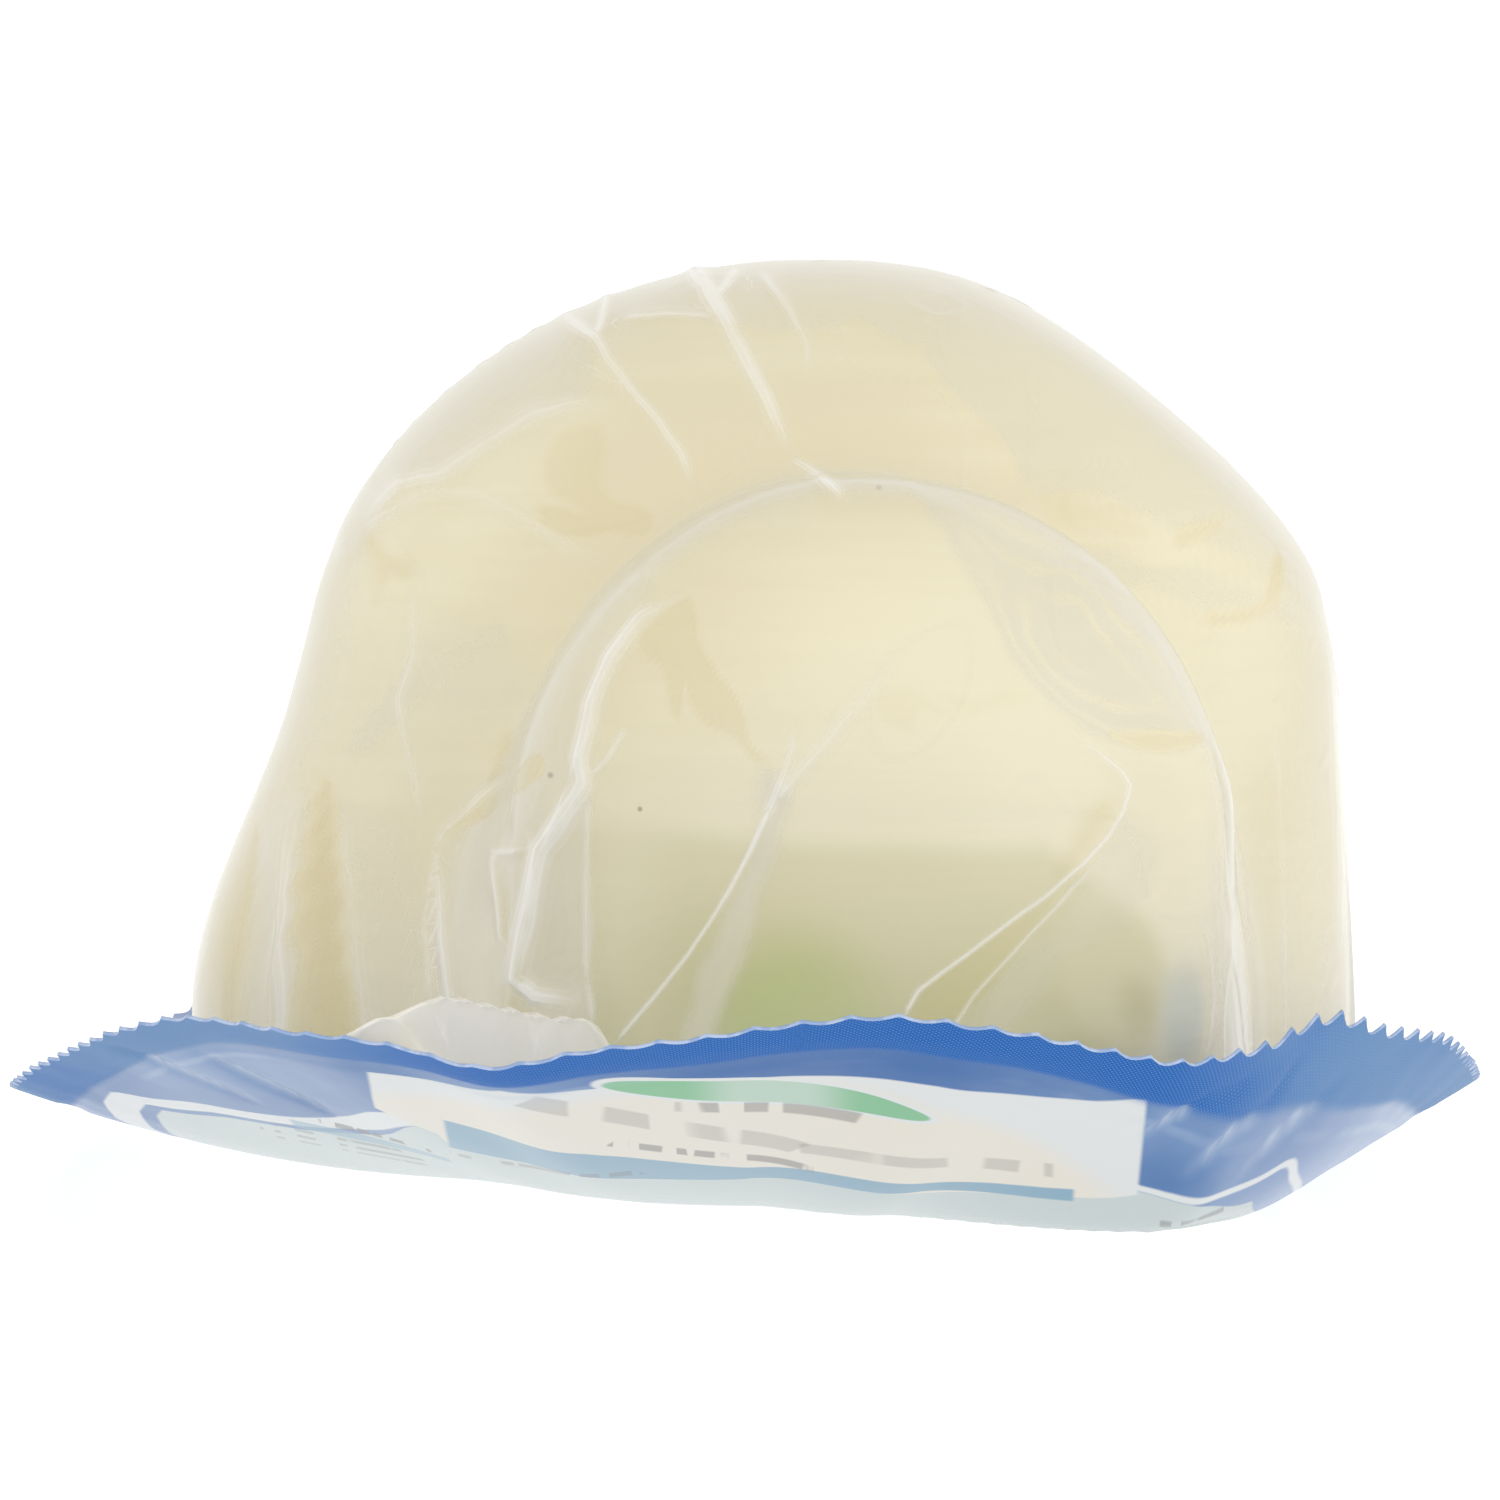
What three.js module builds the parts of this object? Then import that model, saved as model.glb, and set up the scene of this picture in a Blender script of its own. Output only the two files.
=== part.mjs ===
// A scamorza in its vacuum pack, lying on its side. The pear-shaped cheese sits on the pack's printed
// film, whose zigzag-cut rim curls up all round it like a shallow boat. A clear film is drawn down over
// the cheese onto the printed one, with folds where it had to gather.
// Millimetres, +Z up. The head of the cheese points to -Y, and the origin is on the table under the
// middle of the pack.
import * as THREE from "three";

const { clamp, lerp, smoothstep, degToRad, radToDeg } = THREE.MathUtils;

// ---- Driving sizes ----

const filmThickness = 0.5; // both films welded together, with their stiff print
const filmGap = 0.5; // between the printed film and the bag that lies on it
const toothPitch = 3; // of the zigzag cut round the rim
const toothDepth = 1;
const liftPower = 1.5; // how gently the film starts to curl up from its flat middle
const filmRings = 8; // rings of points from the middle of the film to its curl
const bagRows = 35; // rings of points from the foot of the bag to its crown
const bagFloorRows = 4; // and from its foot in under the cheese
const bagColumns = { front: 64, rear: 48 }; // points round the bag, closer together at the folds
const frontArc = degToRad(130); // of the bag, seen from its heart

// How far out towards the rim the film lies flat on the table, by the bearing from straight ahead,
// in degrees towards +X.
const flatShares = [
  { bearing: -180, share: 0.6 },
  { bearing: -90, share: 0.55 },
  { bearing: -35, share: 0.34 },
  { bearing: 0, share: 0.41 },
  { bearing: 12, share: 0.5 },
  { bearing: 30, share: 0.8 },
  { bearing: 58, share: 0.74 },
  { bearing: 90, share: 0.74 },
  { bearing: 180, share: 0.6 },
];

// The cheese: a big body and a small head, each an ellipsoid with its own centre and half sizes.
// The skirt is where the clear film leaves the cheese and runs down and out to the printed film.
const body = {
  centre: new THREE.Vector3(5.2, 17, 34),
  half: new THREE.Vector3(39.3, 38, 33),
  skirt: { top: 40, foot: 10 },
  skirtOut: { left: 0.216, right: 0.034, front: 0.05, rear: 0.13 },
};
const head = {
  centre: new THREE.Vector3(8.3, -27, 24.8),
  half: new THREE.Vector3(25.4, 20.5, 26),
  skirt: { top: 28, foot: 7 },
  skirtOut: { left: 0.06, right: 0.03, front: 0.42, rear: 0.05 },
};
// How softly the head runs into the body, low down where the film bridges the neck, and high up.
const neckBlend = { low: { height: 14, blend: 15 }, high: { height: 40, blend: 7 } };
const shoulder = { lean: degToRad(40), reach: 33.9, blend: 4 }; // where the body is pressed flatter
const heart = new THREE.Vector3(7, -5, 24); // inside the neck, from where all of the bag is in sight

// The underside of the rim, from the middle of the front round by the right side. It dips and rises
// as a film does that has been pulled in.
const rimPoints = [
  [3.3, -80, 16.5],
  [9.6, -80, 16.8],
  [15.8, -79, 16],
  [21.8, -76, 14.6],
  [28, -71, 13.2],
  [33.5, -64.5, 13.9],
  [38.6, -58, 15.5],
  [42.6, -52, 14.1],
  [47.6, -41, 12.6],
  [51.1, -25, 9.6],
  [54.5, 10, 5.2],
  [51.5, 42, 4.8],
  [40, 66, 9],
  [24, 77, 7.5],
  [0, 80, 8.5],
  [-24, 77, 7],
  [-39, 66.5, 9],
  [-51, 43, 4.6],
  [-54.5, 12, 4.8],
  [-52.1, -25, 8],
  [-47, -43, 11.5],
  [-42.4, -55, 13.9],
  [-37.6, -62.5, 15.4],
  [-29, -72, 15.1],
  [-22.5, -75.5, 14.6],
  [-16.9, -77.5, 13.3],
  [-10.5, -79, 14.5],
  [-3.1, -79.8, 15.5],
].map((point) => new THREE.Vector3(...point));

// Folds of the clear film that show from the front, as [x, z] there, with height and half width.
const folds = [
  // down the left of the head, from its brow to its foot
  { path: [[-4.5, 43], [-8, 40], [-11, 34], [-13, 28], [-15, 21], [-16.5, 15]], height: 1.8, width: 2 },
  // across the head, from the upper right to the foot on the left
  { path: [[12, 41], [6, 34], [1.5, 29], [-2.5, 20.5], [-8.5, 12.5]], height: 1.6, width: 2 },
  // a loop on the right of the head
  { path: [[21, 32], [25.5, 29.7], [23, 26], [16.5, 21.3], [10.5, 15.5]], height: 1.5, width: 1.8 },
  // over the crown of the body
  { path: [[-14, 63], [-8, 56.5], [-4, 49.5]], height: 0.9, width: 1.7 },
  { path: [[-4.5, 66], [-0.5, 59], [3, 51.5]], height: 0.9, width: 1.7 },
  // from the pinch high on the left
  { path: [[-34, 46], [-27, 50], [-16, 54]], height: 1.1, width: 1.8 },
  { path: [[-33, 45], [-24, 46.5], [-13, 45]], height: 0.9, width: 1.8 },
  // down the web on the left
  { path: [[-32, 40], [-34, 28], [-37, 12]], height: 1.6, width: 2 },
  { path: [[-25, 36], [-27, 24], [-29, 10]], height: 1.3, width: 2 },
  { path: [[-20, 27], [-22, 18], [-22, 8]], height: 1.1, width: 1.8 },
];

// ---- The rim and the height of the printed film ----

const rimCurve = new THREE.CatmullRomCurve3(rimPoints, true, "centripetal");
const rimSamples = rimCurve
  .getPoints(1440)
  .map(({ x, y, z }) => ({ angle: Math.atan2(y, x), radius: Math.hypot(x, y), height: z }))
  .sort((one, other) => one.angle - other.angle);

function rimAt(angle) {
  let low = 0;
  let high = rimSamples.length - 1;
  while (high - low > 1) {
    const middle = (low + high) >> 1;
    if (rimSamples[middle].angle > angle) high = middle;
    else low = middle;
  }
  const span = rimSamples[high].angle - rimSamples[low].angle;
  const share = span > 0 ? clamp((angle - rimSamples[low].angle) / span, 0, 1) : 0;
  return {
    radius: lerp(rimSamples[low].radius, rimSamples[high].radius, share),
    height: lerp(rimSamples[low].height, rimSamples[high].height, share),
  };
}

function flatShareAt(angle) {
  const bearing = radToDeg(Math.atan2(Math.cos(angle), -Math.sin(angle)));
  const after = Math.max(flatShares.findIndex((entry) => entry.bearing >= bearing), 1);
  const from = flatShares[after - 1];
  const to = flatShares[after];
  return lerp(from.share, to.share, smoothstep(bearing, from.bearing, to.bearing));
}

// How much of the rim's height the film has reached, at a share of the way out.
function lifted(share, angle) {
  const flat = flatShareAt(angle);
  return Math.max((share - flat) / (1 - flat), 0) ** liftPower;
}

// The underside of the printed film over the table.
function filmHeight(x, y) {
  const angle = Math.atan2(y, x);
  const rim = rimAt(angle);
  return rim.height * lifted(Math.hypot(x, y) / rim.radius, angle);
}

// ---- Rings of points made into closed bodies ----

// Triangles between two rings that run the same way round, the first outside the second. Their
// point counts may differ.
function stitch(outerStart, outerCount, innerStart, innerCount) {
  const triangles = [];
  let outer = 0;
  let inner = 0;
  while (outer < outerCount || inner < innerCount) {
    const a = outerStart + (outer % outerCount);
    const b = innerStart + (inner % innerCount);
    if (inner === innerCount || (outer < outerCount && outer / outerCount <= inner / innerCount)) {
      outer += 1;
      triangles.push(a, outerStart + (outer % outerCount), b);
    } else {
      inner += 1;
      if (innerCount > 1) triangles.push(a, innerStart + (inner % innerCount), b);
    }
  }
  return triangles;
}

// Rings that run anticlockwise seen from above, from the foot of a body up over it to one last point.
function stitchRings(rings) {
  const triangles = [];
  let start = 0;
  for (let ring = 0; ring < rings.length - 1; ring += 1) {
    const next = start + rings[ring].length;
    triangles.push(...stitch(start, rings[ring].length, next, rings[ring + 1].length));
    start = next;
  }
  return triangles;
}

function turnOver(triangles) {
  const turned = [];
  for (let corner = 0; corner < triangles.length; corner += 3) {
    turned.push(triangles[corner], triangles[corner + 2], triangles[corner + 1]);
  }
  return turned;
}

function bodyOf(points, triangles) {
  const geometry = new THREE.BufferGeometry().setFromPoints(points);
  geometry.setIndex(triangles);
  return geometry;
}

// ---- The printed film ----

// A ring of points at a share of the way out. The outermost one carries the zigzag cut.
function filmRing(count, share, depth) {
  return rimCurve.getSpacedPoints(count).slice(0, count).map((rim, index) => {
    const angle = Math.atan2(rim.y, rim.x);
    const radius = Math.hypot(rim.x, rim.y) * share - (index % 2 ? 0 : depth);
    return new THREE.Vector3(
      radius * Math.cos(angle),
      radius * Math.sin(angle),
      rim.z * lifted(share, angle),
    );
  });
}

function printedFilmGeometry() {
  const teeth = Math.round(rimCurve.getLength() / toothPitch);
  const rings = [
    filmRing(teeth * 2, 1, toothDepth),
    filmRing(teeth, 0.96, 0),
    filmRing(teeth, 0.9, 0),
    filmRing(Math.round(teeth / 2), 0.84, 0),
  ];
  for (let ring = filmRings - 1; ring > 0; ring -= 1) {
    rings.push(filmRing(Math.round(teeth / 2), (0.78 * ring) / (filmRings - 1), 0));
  }
  rings.push([new THREE.Vector3(0, 0, 0)]);

  const under = rings.flat();
  const over = under.map((point) => point.clone().setZ(point.z + filmThickness));
  const sheet = stitchRings(rings);
  const edge = stitch(0, teeth * 2, under.length, teeth * 2);
  const top = sheet.map((index) => index + under.length);
  return bodyOf([...under, ...over], [...turnOver(sheet), ...edge, ...top]);
}

// ---- The bag: the cheese with its clear film ----

// A value named for the four sides, blended by the direction seen from the middle.
function towards(sides, x, y) {
  const reach = Math.hypot(x, y) || 1;
  const across = x > 0 ? sides.right : sides.left;
  const along = y > 0 ? sides.rear : sides.front;
  const weight = (x / reach) ** 2;
  return across * weight + along * (1 - weight);
}

// Roughly how far a point is outside one lobe of the cheese with its skirt of film. Inside, it is
// negative. The skirt swings out below its top and then hangs straight.
function outsideLobe(point, { centre, half, skirt, skirtOut }) {
  const x = point.x - centre.x;
  const y = point.y - centre.y;
  const drop = 1 - smoothstep(point.z, skirt.foot, skirt.top);
  const spread = 1 + drop * towards(skirtOut, x, y);
  const across = Math.hypot(x / half.x, y / half.y) / spread;
  const above = Math.max(point.z - centre.z, 0) / half.z;
  return (Math.hypot(across, above) - 1) * Math.min(half.x, half.y, half.z);
}

function softMax(one, other, blend) {
  const near = Math.max(blend - Math.abs(one - other), 0) / blend;
  return Math.max(one, other) + (near * near * blend) / 4;
}

function outsideCheese(point) {
  const x = point.x - body.centre.x;
  const z = point.z - body.centre.z;
  const pressed = x * Math.sin(shoulder.lean) + z * Math.cos(shoulder.lean) - shoulder.reach;
  const toBody = softMax(outsideLobe(point, body), pressed, shoulder.blend);
  const { low, high } = neckBlend;
  const blend = lerp(low.blend, high.blend, smoothstep(point.z, low.height, high.height));
  return -softMax(-toBody, -outsideLobe(point, head), blend);
}

// How far along a path the cheese ends. The path gives a point for a distance.
function lengthInside(pathAt) {
  let inside = 2;
  while (outsideCheese(pathAt(inside + 1)) < 0) inside += 1;
  let outside = inside + 1;
  for (let halving = 0; halving < 16; halving += 1) {
    const middle = (inside + outside) / 2;
    if (outsideCheese(pathAt(middle)) < 0) inside = middle;
    else outside = middle;
  }
  return inside;
}

// A point of the floor that the bag stands on, some way out from the heart.
function onFloor(angle, distance) {
  const x = heart.x + distance * Math.cos(angle);
  const y = heart.y + distance * Math.sin(angle);
  return new THREE.Vector3(x, y, filmHeight(x, y) + filmThickness + filmGap);
}

function distanceToPath(x, z, path) {
  let nearest = Infinity;
  for (let step = 1; step < path.length; step += 1) {
    const [ax, az] = path[step - 1];
    const [bx, bz] = path[step];
    const length = (bx - ax) ** 2 + (bz - az) ** 2;
    const along = clamp(((x - ax) * (bx - ax) + (z - az) * (bz - az)) / length, 0, 1);
    nearest = Math.min(nearest, Math.hypot(x - ax - along * (bx - ax), z - az - along * (bz - az)));
  }
  return nearest;
}

// The folds stand proud of the film on the side that looks to the front, and run out at its foot.
function foldRelief(point, direction) {
  const frontness = smoothstep(-direction.y, 0, 0.35);
  const floor = filmHeight(point.x, point.y) + filmThickness + filmGap;
  const standing = folds.map(({ path, height, width }) => {
    const away = distanceToPath(point.x, point.z, path);
    return height * Math.exp(-((away / width) ** 2));
  });
  return Math.max(...standing) * frontness * smoothstep(point.z - floor, 0, 5);
}

// The directions in which the bag has its columns of points, anticlockwise from the right.
function columnAngles() {
  const ahead = -Math.PI / 2;
  const angles = [];
  for (let column = 0; column < bagColumns.rear; column += 1) {
    const share = column / bagColumns.rear;
    angles.push(ahead + frontArc / 2 + share * (2 * Math.PI - frontArc));
  }
  for (let column = 0; column < bagColumns.front; column += 1) {
    angles.push(ahead - frontArc / 2 + (column / bagColumns.front) * frontArc);
  }
  return angles;
}

function bagFoot(angle) {
  return onFloor(angle, lengthInside((distance) => onFloor(angle, distance)));
}

// A ring of the bag, at a share of the way from its foot up to its crown.
function bagRing(angles, feet, share) {
  return angles.map((angle, index) => {
    const foot = feet[index];
    const start = Math.atan2(foot.z - heart.z, Math.hypot(foot.x - heart.x, foot.y - heart.y));
    const rise = lerp(start, Math.PI / 2, share);
    const direction = new THREE.Vector3(
      Math.cos(rise) * Math.cos(angle),
      Math.cos(rise) * Math.sin(angle),
      Math.sin(rise),
    );
    const along = (distance) => heart.clone().addScaledVector(direction, distance);
    const point = along(lengthInside(along));
    return point.addScaledVector(direction, foldRelief(point, direction));
  });
}

// A ring of the floor under the bag, at a share of the way from the heart out to its foot.
function floorRing(angles, feet, share) {
  const count = Math.round(angles.length * share);
  return Array.from({ length: count }, (_, index) => {
    const column = Math.round((index * angles.length) / count);
    const foot = feet[column];
    return onFloor(angles[column], share * Math.hypot(foot.x - heart.x, foot.y - heart.y));
  });
}

function bagGeometry() {
  const angles = columnAngles();
  const feet = angles.map(bagFoot);
  const cover = [feet];
  for (let row = 1; row < bagRows; row += 1) cover.push(bagRing(angles, feet, row / bagRows));
  cover.push(bagRing([0], feet, 1));
  const floor = [];
  for (let row = 1; row < bagFloorRows; row += 1) {
    floor.push(floorRing(angles, feet, 1 - row / bagFloorRows));
  }
  floor.push([onFloor(0, 0)]);

  // Both start from the same ring of feet, so the floor's own points come after the cover's.
  const coverPoints = cover.flat();
  const floorTriangles = stitchRings([feet, ...floor]).map((index) => {
    return index < feet.length ? index : index - feet.length + coverPoints.length;
  });
  return bodyOf(
    [...coverPoints, ...floor.flat()],
    [...stitchRings(cover), ...turnOver(floorTriangles)],
  );
}

// ---- Assembly ----

const pack = new THREE.Group();

const printedFilm = new THREE.Mesh(
  printedFilmGeometry(),
  new THREE.MeshStandardMaterial({ color: 0x2f62b4, roughness: 0.35, metalness: 0 }),
);
printedFilm.name = "printed_film";
pack.add(printedFilm);

const baggedCheese = new THREE.Mesh(
  bagGeometry(),
  new THREE.MeshStandardMaterial({ color: 0xe6dfc6, roughness: 0.3, metalness: 0 }),
);
baggedCheese.name = "bagged_scamorza";
pack.add(baggedCheese);

export default pack;
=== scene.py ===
import math

import bmesh
import bpy
import numpy as np
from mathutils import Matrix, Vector


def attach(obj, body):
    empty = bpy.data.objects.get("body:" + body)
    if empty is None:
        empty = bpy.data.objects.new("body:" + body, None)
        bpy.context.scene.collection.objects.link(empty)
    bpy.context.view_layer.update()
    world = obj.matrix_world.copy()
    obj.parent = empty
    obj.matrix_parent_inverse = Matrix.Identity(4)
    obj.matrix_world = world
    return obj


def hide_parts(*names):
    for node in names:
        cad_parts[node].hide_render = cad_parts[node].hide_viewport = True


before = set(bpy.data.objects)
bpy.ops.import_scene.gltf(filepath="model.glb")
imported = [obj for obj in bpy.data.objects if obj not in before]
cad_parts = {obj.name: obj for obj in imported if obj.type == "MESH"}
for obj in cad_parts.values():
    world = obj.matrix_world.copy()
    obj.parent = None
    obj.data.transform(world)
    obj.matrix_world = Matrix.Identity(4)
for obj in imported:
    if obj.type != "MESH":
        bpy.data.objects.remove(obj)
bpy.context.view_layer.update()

mm = 0.001


def smooth(value, low, high):
    share = np.clip((value - low) / (high - low), 0, 1)
    return share * share * (3 - 2 * share)


def mixed(one, other, share):
    return one + (other - one) * share


def softMax(one, other, blend):
    near = np.maximum(blend - np.abs(one - other), 0) / blend
    return np.maximum(one, other) + near * near * blend / 4


def closedCurve(points, steps):
    # a round curve through the points (centripetal Catmull-Rom), with some steps from each to the next
    points = np.array(points, dtype=float)
    before, start, end, after = (np.roll(points, shift, axis=0) for shift in (1, 0, -1, -2))
    gaps = [np.linalg.norm(b - a, axis=1) ** 0.5 for a, b in ((before, start), (start, end), (end, after))]
    g0, g1, g2 = (gap[:, None, None] for gap in gaps)
    before, start, end, after = (side[:, None, :] for side in (before, start, end, after))
    leave = ((start - before) / g0 - (end - before) / (g0 + g1) + (end - start) / g1) * g1
    arrive = ((end - start) / g1 - (after - start) / (g1 + g2) + (after - end) / g2) * g1
    t = np.linspace(0, 1, steps, endpoint=False)[None, :, None]
    curve = start + leave * t + (3 * (end - start) - 2 * leave - arrive) * t ** 2
    curve = curve + (2 * (start - end) + leave + arrive) * t ** 3
    return curve.reshape(-1, points.shape[1])


def nearPath(x, y, path):
    # signed distance to a path, and how far along it the nearest place is
    points = np.array(path, dtype=float)
    steps = np.linalg.norm(np.diff(points, axis=0), axis=1)
    starts = np.concatenate([[0], np.cumsum(steps)])
    nearest = np.full(x.shape, 1e6)
    side = np.zeros(x.shape)
    along = np.zeros(x.shape)
    for (ax, ay), (bx, by), length, start in zip(points[:-1], points[1:], steps, starts):
        dx, dy = (bx - ax) / length, (by - ay) / length
        reach = np.clip((x - ax) * dx + (y - ay) * dy, 0, length)
        gap = np.hypot(x - ax - reach * dx, y - ay - reach * dy)
        closer = gap < nearest
        nearest = np.where(closer, gap, nearest)
        side = np.where(closer, np.sign(dx * (y - ay) - dy * (x - ax)) * gap, side)
        along = np.where(closer, (start + reach) / starts[-1], along)
    return side, along


def outsideOutline(x, y, corners):
    # signed distance to a closed outline with rounded corners, positive outside
    outline = closedCurve(corners, 4)
    nearest = np.full(x.shape, 1e6)
    crossed = np.zeros(x.shape, dtype=bool)
    for (ax, ay), (bx, by) in zip(outline, np.roll(outline, -1, axis=0)):
        dx, dy = bx - ax, by - ay
        reach = np.clip(((x - ax) * dx + (y - ay) * dy) / (dx * dx + dy * dy), 0, 1)
        nearest = np.minimum(nearest, np.hypot(x - ax - reach * dx, y - ay - reach * dy))
        between = (ay > y) != (by > y)
        crossed = crossed ^ (between & (x < ax + dx * (y - ay) / (dy if dy else 1)))
    return np.where(crossed, -nearest, nearest)


def rolling(x, y, z, size, seed):
    # smooth random waves of about this size in millimetres, mostly between -1 and 1
    draw = np.random.default_rng(seed)
    total = np.zeros(x.shape)
    for _ in range(9):
        way = draw.normal(size=3)
        way = way / np.linalg.norm(way) * 2 * math.pi / (size * draw.uniform(0.6, 1.6))
        total = total + np.sin(way[0] * x + way[1] * y + way[2] * z + draw.uniform(0, 6.28))
    return total / 3


def reachOut(pathAt, outside, count, near=2.0, far=95.0):
    # how far along each path its first place outside is, by halving
    inside = np.full(count, near)
    beyond = np.full(count, far)
    for _ in range(24):
        middle = (inside + beyond) / 2
        out = outside(*pathAt(middle)) > 0
        beyond = np.where(out, middle, beyond)
        inside = np.where(out, inside, middle)
    return inside


def waves(angle, counts, seed):
    # a smooth closed ripple round the pack, between about -1 and 1
    draw = np.random.default_rng(seed)
    total = sum(np.sin(count * angle + draw.uniform(0, 6.28)) * draw.uniform(0.5, 1) for count in counts)
    return total / (0.8 * len(counts))


def gridPiece(name, columns, rows, place, thickness=0, slots=()):
    # a grid whose points are moved to where place() says for their share across and up, with the named
    # values that it gives for each point. Its seam and poles are merged.
    grid = bmesh.new()
    grid.loops.layers.uv.new("UVMap")
    bmesh.ops.create_grid(grid, x_segments=columns, y_segments=rows, size=0.5, calc_uvs=True)
    mesh = bpy.data.meshes.new(name)
    grid.to_mesh(mesh)
    grid.free()
    points = np.empty(len(mesh.vertices) * 3)
    mesh.vertices.foreach_get("co", points)
    points = points.reshape(-1, 3)
    u, v = points[:, 0] + 0.5, points[:, 1] + 0.5
    x, y, z, marks = place(u, v)
    mesh.vertices.foreach_set("co", (np.stack([x, y, z], axis=1) * mm).ravel())
    for mark, values in marks.items():
        layer = mesh.attributes.new(mark, "FLOAT", "POINT")
        layer.data.foreach_set("value", values.astype(np.float32))
    merged = bmesh.new()
    merged.from_mesh(mesh)
    bmesh.ops.remove_doubles(merged, verts=merged.verts, dist=0.0005 * mm)
    merged.to_mesh(mesh)
    merged.free()
    for polygon in mesh.polygons:
        polygon.use_smooth = True
    for material in slots:
        mesh.materials.append(material)
    piece = bpy.data.objects.new(name, mesh)
    bpy.context.scene.collection.objects.link(piece)
    if thickness:
        wall = piece.modifiers.new("Wall", "SOLIDIFY")
        wall.thickness = thickness * mm
        wall.offset = -1
        wall.use_even_offset = False
        wall.material_offset = 1 if len(slots) > 1 else 0
        wall.material_offset_rim = 2 if len(slots) > 2 else 0
    return piece


def newMaterial(name):
    material = bpy.data.materials.new(name)
    material.use_nodes = True
    tree = material.node_tree
    return material, tree, tree.nodes["Principled BSDF"]


def setInput(tree, socket, value):
    if isinstance(value, bpy.types.NodeSocket):
        tree.links.new(value, socket)
    else:
        socket.default_value = value


def add(tree, kind, inputs=None, **settings):
    node = tree.nodes.new("ShaderNode" + kind)
    for name, value in settings.items():
        setattr(node, name, value)
    for name, value in (inputs or {}).items():
        setInput(tree, node.inputs[name], value)
    return node


def calc(tree, operation, value, *others, clamp=False):
    # the operation with each of the other values in turn, of which only the last is clamped
    others = others or (0,)  # a sine or a root takes no second value
    for other in others:
        node = add(tree, "Math", {0: value, 1: other}, operation=operation)
        value = node.outputs[0]
    node.use_clamp = clamp
    return value


def plus(tree, *values, clamp=False):
    return calc(tree, "ADD", *values, clamp=clamp)


def minus(tree, value, other):
    return calc(tree, "SUBTRACT", value, other)


def times(tree, *values, clamp=False):
    return calc(tree, "MULTIPLY", *values, clamp=clamp)


def ramp(tree, value, low, high, start=0.0, end=1.0):
    # a smooth step from start to end as the value goes from low to high
    node = add(tree, "MapRange", {"Value": value}, interpolation_type="SMOOTHSTEP")
    for name, number in (("From Min", low), ("From Max", high), ("To Min", start), ("To Max", end)):
        setInput(tree, node.inputs[name], number)
    return node.outputs[0]


def blendColours(tree, share, one, other):
    node = add(tree, "Mix", data_type="RGBA")
    for index, value in ((0, share), (6, one), (7, other)):
        setInput(tree, node.inputs[index], value)
    return node.outputs[2]


def noise(tree, place, scale, detail=3.0, roughness=0.5, stretch=(1, 1, 1)):
    mapping = add(tree, "Mapping", {"Vector": place, "Scale": stretch})
    inputs = {"Vector": mapping.outputs[0], "Scale": scale, "Detail": detail, "Roughness": roughness}
    return add(tree, "TexNoise", inputs).outputs["Fac"]


def addBump(tree, surface, height, strength, distance):
    bump = add(tree, "Bump", {"Height": height, "Strength": strength, "Distance": distance})
    setInput(tree, surface.inputs["Normal"], bump.outputs[0])


def objectPlace(tree):
    return add(tree, "TexCoord").outputs["Object"]


def markOf(tree, name):
    return add(tree, "Attribute", attribute_name=name).outputs["Fac"]


def shade(red, green, blue):
    # a screen colour from 0 to 255 as the linear colour that a socket takes
    linear = [(value / 255 + 0.055) / 1.055 for value in (red, green, blue)]
    return (*[value ** 2.4 for value in linear], 1)


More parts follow.
